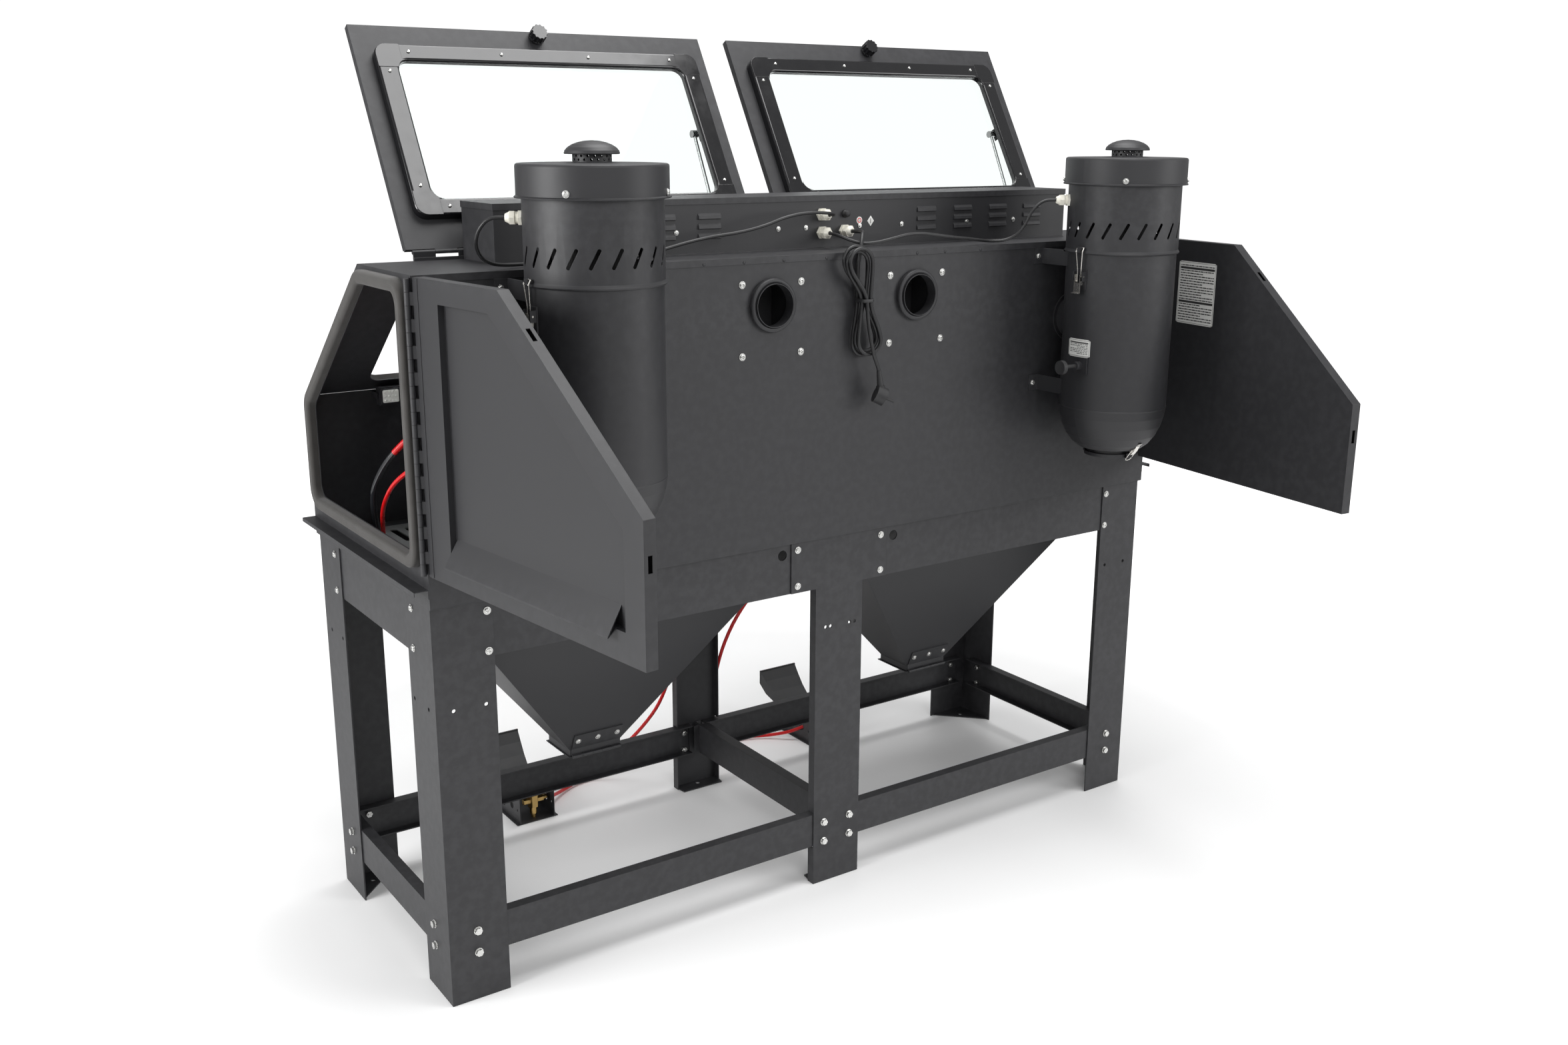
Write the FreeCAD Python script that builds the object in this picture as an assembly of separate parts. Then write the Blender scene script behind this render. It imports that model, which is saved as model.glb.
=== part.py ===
import FreeCAD, Part
import math
import os

# Two-station suction sandblast cabinet on a sheet-metal stand.  Millimetres, +Z up, floor at z = 0.
# The operator stands on the -Y side and looks along +Y, so "right" is +X and "left" is -X.
# Everything is drawn as it stands with both end doors and both top lids open.

V = FreeCAD.Vector
X, Y, Z = V(1, 0, 0), V(0, 1, 0), V(0, 0, 1)

# ---- driving dimensions -------------------------------------------------------------------
STAND_X = 915.0            # half length over the corner legs
STAND_Y = 306.0            # half depth over the corner legs
STAND_TOP = 805.0          # height of the seam between stand and cabinet
LEG_WIDTH = 120.0
LEG_SHEET = 3.0
RAIL_HEIGHT = 112.0        # upper rails under the cabinet
RAIL_FLANGE = 18.0
BRACE_LOW, BRACE_HIGH = 92.0, 168.0
BRACE_FLANGE = 24.0
MID_LEG_WIDTH = 124.0
MID_HEAD_WIDTH = 252.0
FOOT_HOLE_R = 6.0
CORNER_FOOT_X, CORNER_FOOT_Y = 870.0, 261.0
MID_FOOT_Y = 291.0

BODY_X = 917.0             # half length of the cabinet body
REAR, FRONT = 315.0, -321.0
TOP_Z = 1397.0
KNEE_Z = 1101.0            # where the sloped top meets the upright front
SLOPE_TOP_Y = 52.0
SHEET = 2.0
SLOPE_ANGLE = math.degrees(math.atan2(TOP_Z - KNEE_Z, SLOPE_TOP_Y - FRONT))

LID_CENTRE_X = 429.0
LID_WIDTH, LID_LENGTH = 784.0, 480.0
LID_HINGE_Y, LID_HINGE_Z = 46.0, 1412.0
LID_OPEN_ANGLE = 120.4     # direction of the open lid, measured from +Y towards +Z
LID_TRAVEL = 98.0          # closing travel
LID_SKIRT = 12.0
WINDOW_X, WINDOW_T = 635.0, 295.0
TRIM_X, TRIM_T = 717.0, 365.0
WINDOW_CENTRE_T = 247.5
LID_OPENING_X = 730.0
LID_OPENING_S = (25.0, 440.0)

DOOR_HINGE_X, DOOR_HINGE_Y = 926.0, 318.0
DOOR_GAP = 18.0            # seal gap between end panel and closed door
DOOR_DEPTH = 22.0
DOOR_LOW, DOOR_TOP, DOOR_KNEE = 870.0, 1395.0, 1100.0
DOOR_START, DOOR_CORNER, DOOR_REACH = 6.0, 272.0, 640.0
DOOR_OPEN_ANGLE = 187.3

HOPPER_X, HOPPER_LOW = 464.5, 345.0
HOPPER_TOP = (43.0, 879.0, 263.0)
HOPPER_NECK = (61.0, 51.0)

CAN_X, CAN_Y = 643.0, 456.4
CAN_R, HEAD_R, CAP_R = 117.5, 120.0, 129.0
BOWL_TOP, CAN_SEAM, HEAD_TOP, CAP_TOP = 1043.0, 1381.0, 1525.0, 1581.0
BOWL_SHOULDER, BOWL_LOW, BOWL_MOUTH_R = 946.0, 934.0, 50.0
DUCT_Z, PORT_Z, PORT_X, PORT_R = 1227.0, 1302.0, 183.0, 42.0

GLOVE_PORT_X = (229.0, 629.0)
GLOVE_PORT_Z, GLOVE_PORT_R = 952.0, 85.0
BOX_X = (-720.0, 712.0)
BOX_Y = (56.0, 199.0)
BOX_HEIGHT = 108.0
PEDAL_X, PEDAL_HALF_WIDTH, PEDAL_REAR = 434.0, 46.0, -328.0
AIR_HOSE_D, MEDIA_HOSE_D, FAN_CABLE_D, MAINS_D = 9.0, 13.0, 6.5, 8.0
HANK_Y = (318.6, 351.9)
RUNNING_CLEARANCE = 0.05


# ---- small building blocks ----------------------------------------------------------------
def block(x0, x1, y0, y1, z0, z1):
    return Part.makeBox(x1 - x0, y1 - y0, z1 - z0, V(x0, y0, z0))


def bar(start, end, radius):
    return Part.makeCylinder(radius, (end - start).Length, start, end - start)


def tube(start, end, outer, inner):
    return bar(start, end, outer).cut(bar(start, end, inner))


def hexagon(centre, axis, across_flats, height):
    """Hexagonal prism standing on centre along axis."""
    radius = across_flats / math.sqrt(3)
    turn = FreeCAD.Rotation(Z, axis)
    corners = [centre + turn.multVec(V(radius * math.cos(a), radius * math.sin(a), 0))
               for a in [math.radians(60 * i) for i in range(7)]]
    return Part.Face(Part.makePolygon(corners)).extrude(axis * height)


def rounded_wire(corners, radius):
    """Closed flat outline through the corners, each corner rounded with the same radius."""
    edges = []
    count = len(corners)
    starts, ends = [], []
    for i in range(count):
        back = (corners[i - 1] - corners[i]).normalize()
        ahead = (corners[(i + 1) % count] - corners[i]).normalize()
        half = back.getAngle(ahead) / 2
        reach = radius / math.tan(half)
        middle = (back + ahead).normalize() * (radius / math.sin(half) - radius)
        starts.append(corners[i] + back * reach)
        ends.append(corners[i] + ahead * reach)
        edges.append(Part.Arc(starts[i], corners[i] + middle, ends[i]).toShape())
    sides = [Part.LineSegment(ends[i], starts[(i + 1) % count]).toShape() for i in range(count)]
    loop = [edge for pair in zip(edges, sides) for edge in pair]
    return Part.Wire(loop)


def slab(corners, thickness, radius=0.0, holes=()):
    """Flat plate of the corner outline, thickened by a vector, with optional hole wires."""
    outline = rounded_wire(corners, radius) if radius else Part.makePolygon(corners + corners[:1])
    plate = Part.Face(outline).extrude(thickness)
    for hole in holes:
        lead = V(thickness).normalize()
        cutter = Part.Face(hole).extrude(thickness + lead * 2)
        cutter.translate(-lead)
        plate = plate.cut(cutter)
    return plate


def yz(points, x):
    return [V(x, y, z) for y, z in points]


def xy_rect(x0, x1, y0, y1, z=0.0):
    return [V(x0, y0, z), V(x1, y0, z), V(x1, y1, z), V(x0, y1, z)]


def fuse(shapes):
    shapes = list(shapes)
    return shapes[0].multiFuse(shapes[1:]).removeSplitter() if len(shapes) > 1 else shapes[0]


def mirrored(shape):
    return shape.mirror(V(0, 0, 0), X)


def both_sides(shapes):
    shapes = list(shapes)
    return shapes + [mirrored(s) for s in shapes]


def four_corners(shape):
    """The shape and its mirror images in the X and Y mid planes."""
    pair = both_sides([shape])
    return pair + [s.mirror(V(0, 0, 0), Y) for s in pair]


def solids_of(shape):
    """The separate solids of a shape, mirrored copies rebuilt right side out."""
    kept = []
    for solid in shape.Solids:
        if solid.Volume < 0:
            solid = solid.copy()
            solid.reverse()
        kept.append(solid)
    return kept


def save(name, shapes):
    if not isinstance(shapes, (list, tuple)):
        shapes = [shapes]
    solids = [solid for shape in shapes for solid in solids_of(shape)]
    group = solids[0] if len(solids) == 1 else Part.makeCompound(solids)
    group.exportStep("parts/" + name + ".step")


def turned(shape, centre, axis, angle):
    copy = shape.copy()
    copy.rotate(centre, axis, angle)
    return copy


# ---- local frames -------------------------------------------------------------------------
def lid_place(shape):
    """Lid drawing (x across, y away from the hinge, z towards the underside) to the open pose."""
    copy = turned(shape, V(0, 0, 0), X, LID_OPEN_ANGLE)
    copy.translate(V(0, LID_HINGE_Y, LID_HINGE_Z))
    return copy


def slope_place(shape):
    """Slope drawing (x across, y down the slope from its top edge, z into the cabinet)."""
    copy = turned(shape, V(0, 0, 0), X, 180 + SLOPE_ANGLE)
    copy.translate(V(0, SLOPE_TOP_Y, TOP_Z))
    return copy


def door_open(shape):
    """Right door drawn closed, swung to the open pose."""
    return turned(shape, V(DOOR_HINGE_X, DOOR_HINGE_Y, 0), Z, DOOR_OPEN_ANGLE)


def piano_hinge(start, axis, length, pitch, radius, pin_radius):
    """Knuckles of a continuous hinge: (fixed with pin, moving), every second knuckle each."""
    gap = 0.4
    count = int(round(length / pitch)) | 1
    step = length / count
    fixed, moving = [], []
    for i in range(count):
        low = start + axis * (i * step + gap / 2)
        high = start + axis * ((i + 1) * step - gap / 2)
        if i % 2:
            moving.append(tube(low, high, radius, pin_radius + RUNNING_CLEARANCE))
        else:
            fixed.append(bar(low, high, radius))
    pin = bar(start + axis * (gap / 2), start + axis * (length - gap / 2), pin_radius)
    return fixed + [pin], moving, step


# ---- cords and hoses ----------------------------------------------------------------------
def cord_path(points):
    """Straight runs joined by tangent arcs as large as the runs allow; also the arc radii."""
    edges, radii = [], []
    previous = points[0]
    for before, corner, after in zip(points, points[1:], points[2:]):
        back, ahead = before - corner, after - corner
        turn = math.pi - back.getAngle(ahead)
        radius = 0.45 * min(back.Length, ahead.Length) / math.tan(turn / 2)
        reach = radius * math.tan(turn / 2)
        back.normalize()
        ahead.normalize()
        first, last = corner + back * reach, corner + ahead * reach
        middle = corner + (back + ahead).normalize() * (radius / math.cos(turn / 2) - radius)
        if (first - previous).Length > 1e-6:
            edges.append(Part.LineSegment(previous, first).toShape())
        edges.append(Part.Arc(first, middle, last).toShape())
        radii.append(radius)
        previous = last
    edges.append(Part.LineSegment(previous, points[-1]).toShape())
    return Part.Wire(edges), radii


def cord(name, points, diameter):
    """Round cord along the route; prints its length, volume check and arc radii."""
    points = [V(*p) for p in points]
    path, radii = cord_path(points)
    section = Part.Wire(Part.makeCircle(diameter / 2, points[0], points[1] - points[0]))
    solid = path.makePipeShell([section], True, False)
    expected = math.pi * diameter ** 2 / 4 * path.Length
    print(name, "length", round(path.Length), "volume ratio", round(solid.Volume / expected, 4),
          "least radius / diameter", round(min(radii) / diameter, 1),
          "radii", [round(r) for r in radii])
    return solid


def flipped(points):
    return [(-x, y, z) for x, y, z in points]


# ---- stand --------------------------------------------------------------------------------
def corner_leg():
    """Angle-section leg at +X +Y with its foot plate folded in at the bottom."""
    side = block(STAND_X - LEG_SHEET, STAND_X, STAND_Y - LEG_WIDTH, STAND_Y, 0, STAND_TOP)
    rear = block(STAND_X - LEG_WIDTH, STAND_X, STAND_Y - LEG_SHEET, STAND_Y, 0, STAND_TOP)
    foot = slab([V(STAND_X - 1, STAND_Y - 1, 0), V(STAND_X - LEG_WIDTH + 6, STAND_Y - 1, 0),
                 V(STAND_X - 1, STAND_Y - LEG_WIDTH + 6, 0)], Z * LEG_SHEET)
    leg = fuse([side, rear, foot])
    holes = [bar(V(CORNER_FOOT_X, CORNER_FOOT_Y, -1), V(CORNER_FOOT_X, CORNER_FOOT_Y, 10), FOOT_HOLE_R)]
    for y in (203, 272):
        holes.append(bar(V(STAND_X - 10, y, 602), V(STAND_X + 10, y, 602), 4))
    for x in (816, 880):
        holes.append(bar(V(x, STAND_Y - 10, 602), V(x, STAND_Y + 10, 602), 4))
    return leg.cut(Part.makeCompound(holes))


def middle_leg():
    """Rear middle leg: shallow channel with a wide head plate and a folded foot."""
    web_low, web_high = STAND_Y - LEG_SHEET, STAND_Y
    half, head = MID_LEG_WIDTH / 2, MID_HEAD_WIDTH / 2
    head_low = STAND_TOP - RAIL_HEIGHT
    web = block(-half, half, web_low, web_high, 0, STAND_TOP)
    plate = block(-head, head, web_low, web_high, head_low, STAND_TOP)
    flanges = [block(x0, x1, web_low - RAIL_FLANGE, web_high, 0, head_low)
               for x0, x1 in ((-half, -half + LEG_SHEET), (half - LEG_SHEET, half))]
    foot = slab([V(-half, web_high, 0), V(half, web_high, 0),
                 V(half - 6, STAND_Y - 43, 0), V(-half + 6, STAND_Y - 43, 0)], Z * LEG_SHEET)
    leg = fuse([web, plate, foot] + flanges)
    notches = [block(x0, x1, 0, web_low, BRACE_LOW - 4, BRACE_HIGH + 4)
               for x0, x1 in ((-half - 1, -half + 8), (half - 8, half + 1))]
    holes = [bar(V(x, 0, 603), V(x, 400, 603), 4) for x in (-42, -29, 22, 35)]
    holes.append(bar(V(0, MID_FOOT_Y, -1), V(0, MID_FOOT_Y, 10), FOOT_HOLE_R))
    return leg.cut(Part.makeCompound(notches + holes))


def channel_along_x(x0, x1, web_y, z0, z1, flange, sheet=LEG_SHEET):
    """Channel rail with its web at web_y and its flanges pointing to -Y."""
    web = block(x0, x1, web_y, web_y + sheet, z0, z1)
    top = block(x0, x1, web_y - flange, web_y + sheet, z1 - sheet, z1)
    low = block(x0, x1, web_y - flange, web_y + sheet, z0, z0 + sheet)
    return fuse([web, top, low])


def channel_along_y(y0, y1, web_x, z0, z1, flange, sheet=LEG_SHEET):
    """Channel rail with its web at web_x and its flanges pointing to -X."""
    web = block(web_x, web_x + sheet, y0, y1, z0, z1)
    top = block(web_x - flange, web_x + sheet, y0, y1, z1 - sheet, z1)
    low = block(web_x - flange, web_x + sheet, y0, y1, z0, z0 + sheet)
    return fuse([web, top, low])


def make_stand():
    save("corner_legs", four_corners(corner_leg()))
    middle = middle_leg()
    save("middle_legs", [middle, middle.mirror(V(0, 0, 0), Y)])

    rail_low = STAND_TOP - RAIL_HEIGHT
    inner_y = STAND_Y - 2 * LEG_SHEET
    inner_x = STAND_X - 2 * LEG_SHEET
    long_rail = channel_along_x(92, 840, inner_y, rail_low, STAND_TOP, RAIL_FLANGE - LEG_SHEET)
    knockouts = [bar(V(x, 290, 780), V(x, 310, 780), 11) for x in (147, 781)]
    long_rail = long_rail.cut(knockouts[0])
    end_rail = channel_along_y(-232, 232, inner_x, rail_low, STAND_TOP, RAIL_FLANGE - LEG_SHEET)
    save("upper_rails", four_corners(long_rail) + both_sides([end_rail]))

    long_brace = channel_along_x(20, 882, inner_y, BRACE_LOW, BRACE_HIGH, BRACE_FLANGE - LEG_SHEET)
    end_brace = channel_along_y(-262, 262, inner_x, BRACE_LOW, BRACE_HIGH, BRACE_FLANGE - LEG_SHEET)
    cross_y = inner_y - BRACE_FLANGE
    cross = channel_along_y(-cross_y, cross_y, -LEG_SHEET / 2, BRACE_LOW, BRACE_HIGH, BRACE_FLANGE)
    tab = block(-18, 18, cross_y, inner_y + LEG_SHEET, BRACE_LOW, BRACE_HIGH)
    hollow = block(-19, 19, cross_y + 0.01, inner_y, BRACE_LOW - 1, BRACE_HIGH + 1)
    strip = block(-LEG_SHEET / 2, LEG_SHEET / 2, cross_y - 1, inner_y + 1, BRACE_LOW, BRACE_HIGH)
    tab = fuse([tab.cut(hollow), strip])
    cross = fuse([cross, tab, tab.mirror(V(0, 0, 0), Y)])
    save("lower_braces", four_corners(long_brace) + both_sides([end_brace]) + [cross])


# ---- fasteners ----------------------------------------------------------------------------
def pan_screw(x, y, z, axis, size=6.0):
    """Cross-recess pan head with a washer, seated on the face at (x, y, z)."""
    seat = V(x, y, z)
    washer = bar(seat, seat + axis * 1.2, size * 1.25)
    head = bar(seat + axis * 1.2, seat + axis * (1.2 + size * 0.5), size * 0.95)
    head = head.makeFillet(size * 0.35, [head.Edges[0]]) if head.Edges else head
    side = axis.cross(Z if abs(axis.z) < 0.9 else X).normalize()
    other = axis.cross(side)
    top = seat + axis * (1.2 + size * 0.5)
    cross = []
    for arm in (side, other):
        along, across = arm * (size * 0.55), axis.cross(arm) * (size * 0.1)
        face = [top - along - across, top + along - across, top + along + across, top - along + across]
        cross.append(slab(face, axis * -(size * 0.3)))
    shank = bar(seat - axis * (LEG_SHEET * 2), seat, size / 2)
    return fuse([washer, head, shank]).cut(Part.makeCompound(cross))


def hex_bolt(x, y, z, axis):
    """M8 hexagon bolt with its washer, and the nut on the inner side."""
    seat = V(x, y, z)
    inner = seat - axis * (2 * LEG_SHEET)
    parts = [bar(seat, seat + axis * 1.6, 8.5), hexagon(seat + axis * 1.6, axis, 13, 5.3),
             bar(inner - axis * 9, seat, 4), hexagon(inner - axis * 6.5, axis, 13, 6.5)]
    return fuse(parts)


def around(x, y, z):
    """The same place on the four quarters of the stand."""
    return [(sx * x, sy * y, z, sx, sy) for sx in (1, -1) for sy in (1, -1)]


def make_fasteners():
    screws, bolts = [], []
    for x, y, z, sx, sy in around(806, STAND_Y, 783) + around(806, STAND_Y, 705):
        screws.append(pan_screw(x, y, z, Y * sy))
    for x, y, z, sx, sy in around(110, STAND_Y, 787) + around(110, STAND_Y, 708):
        screws.append(pan_screw(x, y, z, Y * sy))
    for x, y, z, sx, sy in around(STAND_X, 214, 783) + around(STAND_X, 214, 705):
        screws.append(pan_screw(x, y, z, X * sx))
    for x, y, z, sx, sy in around(PORT_X - 70, REAR, 1345) + around(PORT_X + 70, REAR, 1345):
        if sy > 0:
            screws.append(pan_screw(x, y, z, Y))
            screws.append(pan_screw(x, y, 2 * 1275 - z, Y))
    for x in (89, 20, -120, -234, 330, -420, -560, 560):
        screws.append(pan_screw(x, BOX_Y[1], 1440, Y, 4.0))
    for side in (-1, 1):
        for z in (1367, 1084):
            for arm in (-113, 113):
                screws.append(pan_screw(side * CAN_X + arm, REAR + 3, z, Y, 5.0))
        for turn in (43, 135, 225, 315):
            angle = math.radians(turn)
            out = V(math.cos(angle), math.sin(angle), 0)
            seat = V(side * CAN_X, CAN_Y, HEAD_TOP + 10) + out * CAP_R
            screws.append(pan_screw(seat.x, seat.y, seat.z, out, 5.0))
        for offset in (-47, 0, 47):
            rise = 24.0
            lean = hopper_rear_lean()
            out = V(0, math.cos(lean), -math.sin(lean))
            seat = hopper_rear_point(rise) + out * 2.5
            screws.append(pan_screw(side * HOPPER_X + offset, seat.y, seat.z, out, 5.0))
    for x, y, z, sx, sy in around(857, STAND_Y, 146) + around(857, STAND_Y, 100):
        bolts.append(hex_bolt(x, y, z, Y * sy))
    for x, y, z, sx, sy in around(35, STAND_Y, 146) + around(35, STAND_Y, 100):
        bolts.append(hex_bolt(x, y, z, Y * sy))
    for x, y, z, sx, sy in around(STAND_X, 236, 146) + around(STAND_X, 236, 100):
        bolts.append(hex_bolt(x, y, z, X * sx))
    save("pan_screws", screws)
    save("hex_bolts", bolts)


# ---- cabinet body -------------------------------------------------------------------------
BODY_OUTLINE = [(REAR, STAND_TOP), (REAR, TOP_Z), (SLOPE_TOP_Y, TOP_Z), (FRONT, KNEE_Z),
                (FRONT, STAND_TOP)]
DOOR_OPENING = [(84, 1364), (272, 1364), (272, 899), (-262, 899), (-262, 1090)]


def grown(points, margin):
    """Convex outline moved outwards by a margin; the points run clockwise or anticlockwise."""
    area = sum(a[0] * b[1] - b[0] * a[1] for a, b in zip(points, points[1:] + points[:1]))
    sign = 1 if area > 0 else -1
    lines = []
    for a, b in zip(points, points[1:] + points[:1]):
        dx, dy = b[0] - a[0], b[1] - a[1]
        size = math.hypot(dx, dy)
        nx, ny = sign * dy / size, -sign * dx / size
        lines.append((a[0] + nx * margin, a[1] + ny * margin, dx, dy))
    corners = []
    for (ax, ay, adx, ady), (bx, by, bdx, bdy) in zip(lines[-1:] + lines[:-1], lines):
        t = ((bx - ax) * bdy - (by - ay) * bdx) / (adx * bdy - ady * bdx)
        corners.append((ax + t * adx, ay + t * ady))
    return corners


def make_body():
    inner_x = BODY_X - SHEET
    flat = block(-inner_x, inner_x, SLOPE_TOP_Y - 0.8, REAR, TOP_Z - SHEET, TOP_Z)
    lip = block(-inner_x, inner_x, REAR, REAR + SHEET, TOP_Z - 13, TOP_Z)
    slope_length = math.hypot(TOP_Z - KNEE_Z, SLOPE_TOP_Y - FRONT)
    slope = block(-inner_x, inner_x, 0, slope_length, 0, SHEET)
    for side in (-1, 1):
        centre, half = side * LID_CENTRE_X, LID_OPENING_X / 2
        mouth = rounded_wire(xy_rect(centre - half, centre + half, *LID_OPENING_S), 25)
        cutter = Part.Face(mouth).extrude(V(0, 0, 20))
        cutter.translate(V(0, 0, -10))
        slope = slope.cut(cutter)
    save("top_panel", fuse([flat, lip, slope_place(slope)] + strut_brackets()))

    ports = [x for half in GLOVE_PORT_X for x in (-half, half)]
    front = block(-inner_x, inner_x, FRONT, FRONT + SHEET, STAND_TOP + SHEET, KNEE_Z - 2)
    for x in ports:
        front = front.cut(bar(V(x, FRONT - 5, GLOVE_PORT_Z), V(x, FRONT + 9, GLOVE_PORT_Z), GLOVE_PORT_R))
    save("front_panel", front)

    back = block(-inner_x, inner_x, REAR - SHEET, REAR, STAND_TOP + SHEET, TOP_Z - SHEET)
    for x, z in [(PORT_X, PORT_Z), (CAN_X, DUCT_Z)]:
        for side in (-1, 1):
            back = back.cut(bar(V(side * x, REAR - 9, z), V(side * x, REAR + 9, z), PORT_R + 1.5))
    save("back_panel", back)

    hole = rounded_wire(yz(DOOR_OPENING, inner_x), 24)
    end = slab(yz(BODY_OUTLINE, inner_x), X * SHEET, holes=[hole])
    sill = fuse([block(BODY_X, BODY_X + 1.5, -318, 314, 826, 843),
                 block(BODY_X, BODY_X + 28, -318, 314, 841.5, 843),
                 block(BODY_X + 26.5, BODY_X + 28, -318, 314, 835, 843)])
    save("end_panels", both_sides([end, sill]))

    openings = []
    for side in (-1, 1):
        x0, x1, half_y = HOPPER_TOP
        low, high = sorted((side * (x0 + 8), side * (x1 - 8)))
        openings.append(block(low, high, -half_y + 8, half_y - 8, STAND_TOP - 1, STAND_TOP + 5))
    floor = block(-inner_x, inner_x, FRONT, REAR, STAND_TOP, STAND_TOP + SHEET)
    save("floor_plate", floor.cut(Part.makeCompound(openings)))


def make_seals():
    """Hollow rubber sections around the door openings and the lid openings."""
    door_inner = rounded_wire(yz(grown(DOOR_OPENING, 1), BODY_X), 24)
    door_seal = slab(yz(grown(DOOR_OPENING, 26), BODY_X), X * (DOOR_GAP - 1), 46, [door_inner])
    crown = [e for e in door_seal.Edges if e.BoundBox.XMin > BODY_X + DOOR_GAP - 1.5]
    door_seal = door_seal.makeFillet(7, crown)
    lid_seals = []
    for side in (-1, 1):
        centre, half = side * LID_CENTRE_X, LID_OPENING_X / 2
        low, high = LID_OPENING_S
        inner = rounded_wire(xy_rect(centre - half - 1, centre + half + 1, low - 1, high + 1), 25)
        outer = xy_rect(centre - half - 13, centre + half + 13, low - 13, high + 13)
        ring = slab(outer, Z * -12.5, 36, [inner])
        lid_seals.append(slope_place(ring))
    save("rubber_seals", both_sides([door_seal]) + lid_seals)


def make_work_grates():
    """Perforated steel sheet over each hopper, with long slots."""
    x0, x1, half_y = HOPPER_TOP
    low, high = x0 - 10, x1 + 10
    slots = []
    pitch_x, pitch_y = 32.0, 124.0
    columns = int((high - low - 40) / pitch_x)
    for column in range(columns):
        x = (low + high) / 2 + (column - (columns - 1) / 2) * pitch_x
        for row in range(4):
            y = (row - 1.5) * pitch_y
            slots.append(rounded_wire(xy_rect(x - 8, x + 8, y - 52, y + 52), 7))
    outline = Part.makePolygon(xy_rect(low, high, -half_y - 8, half_y + 8)
                               + xy_rect(low, high, -half_y - 8, half_y + 8)[:1])
    sheet = Part.Face([outline] + slots).extrude(Z * 3)
    sheet.translate(Z * (STAND_TOP + SHEET))
    save("work_grates", both_sides([sheet]))


# ---- hoppers ------------------------------------------------------------------------------
def hopper_rear_lean():
    return math.atan2(HOPPER_TOP[2] - HOPPER_NECK[1], STAND_TOP - HOPPER_LOW)


def hopper_rear_point(rise):
    """Point on the outer rear face at a height above the neck."""
    return V(0, HOPPER_NECK[1] + rise * math.tan(hopper_rear_lean()), HOPPER_LOW + rise)


def hopper_loft(inset):
    x0, x1, half_y = HOPPER_TOP
    nx, ny = HOPPER_NECK
    top = xy_rect(x0 + inset, x1 - inset, -half_y + inset, half_y - inset, STAND_TOP)
    low = xy_rect(HOPPER_X - nx + inset, HOPPER_X + nx - inset, -ny + inset, ny - inset, HOPPER_LOW)
    wires = [Part.makePolygon(loop + loop[:1]) for loop in (low, top)]
    return Part.makeLoft(wires, True, True)


FLAP_AXIS_Y, FLAP_AXIS_Z = 58.0, 331.0


def make_hoppers():
    """Right hopper and its clean-out flap; the left ones are mirror images."""
    x0, x1, half_y = HOPPER_TOP
    nx, ny = HOPPER_NECK
    shell = hopper_loft(0).cut(hopper_loft(2.4))
    neck = block(HOPPER_X - nx, HOPPER_X + nx, -ny, ny, HOPPER_LOW - 14, HOPPER_LOW)
    neck = neck.cut(block(HOPPER_X - nx + 2, HOPPER_X + nx - 2, -ny + 2, ny - 2, 300, 400))
    flange = block(x0 - 13, x1 + 11, -half_y - 20, half_y + 20, STAND_TOP - 2, STAND_TOP)
    flange = flange.cut(block(x0 + 2, x1 - 2, -half_y + 2, half_y - 2, 700, 900))
    rise = 40.0
    high, low = hopper_rear_point(rise), hopper_rear_point(4)
    lean = hopper_rear_lean()
    out = V(0, math.cos(lean), -math.sin(lean)) * 2.5
    half = 58.0
    plate = slab([V(HOPPER_X - half, low.y, low.z), V(HOPPER_X + half, low.y, low.z),
                  V(HOPPER_X + half, high.y, high.z), V(HOPPER_X - half, high.y, high.z)], out)
    knuckles, movers, step = piano_hinge(V(HOPPER_X - half, FLAP_AXIS_Y, FLAP_AXIS_Z), X, 2 * half,
                                         23, 3.5, 1.5)
    webs = [block(HOPPER_X - half + i * step + 0.4, HOPPER_X - half + (i + 1) * step - 0.4,
                  ny, FLAP_AXIS_Y, FLAP_AXIS_Z + 1.6, FLAP_AXIS_Z + 3.4)
            for i in range(0, 5, 2)]
    spine = block(HOPPER_X - half, HOPPER_X + half, ny, ny + 2, FLAP_AXIS_Z + 1.6, HOPPER_LOW + 8)
    hopper = fuse([shell, neck, flange, plate, spine] + knuckles + webs)
    save("hoppers", both_sides([hopper]))

    flap_top = FLAP_AXIS_Z - 0.5
    leaf = block(HOPPER_X - 64, HOPPER_X + 64, -ny - 8, ny + 3, flap_top - 2, flap_top)
    arms = [block(HOPPER_X - half + i * step + 0.4, HOPPER_X - half + (i + 1) * step - 0.4,
                  ny + 2, FLAP_AXIS_Y - 2.0, flap_top - 2, flap_top) for i in (1, 3)]
    tongue = fuse([block(HOPPER_X - 14, HOPPER_X + 14, -ny - 26, -ny - 7, flap_top - 2, flap_top),
                   block(HOPPER_X - 14, HOPPER_X + 14, -ny - 26, -ny - 24, flap_top - 14, flap_top)])
    flap = fuse([leaf, tongue] + movers + arms)
    save("hopper_flap_right", flap)
    save("hopper_flap_left", mirrored(flap))


# ---- end doors ----------------------------------------------------------------------------
def door_points(inset=0.0):
    """Door outline in (y, z) for the closed right door, moved inwards by an inset."""
    hinge_y = DOOR_HINGE_Y
    points = [(hinge_y - DOOR_START, DOOR_LOW), (hinge_y - DOOR_START, DOOR_TOP),
              (hinge_y - DOOR_CORNER, DOOR_TOP), (hinge_y - DOOR_REACH, DOOR_KNEE),
              (hinge_y - DOOR_REACH, DOOR_LOW)]
    return grown(points, -inset) if inset else points


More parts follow.
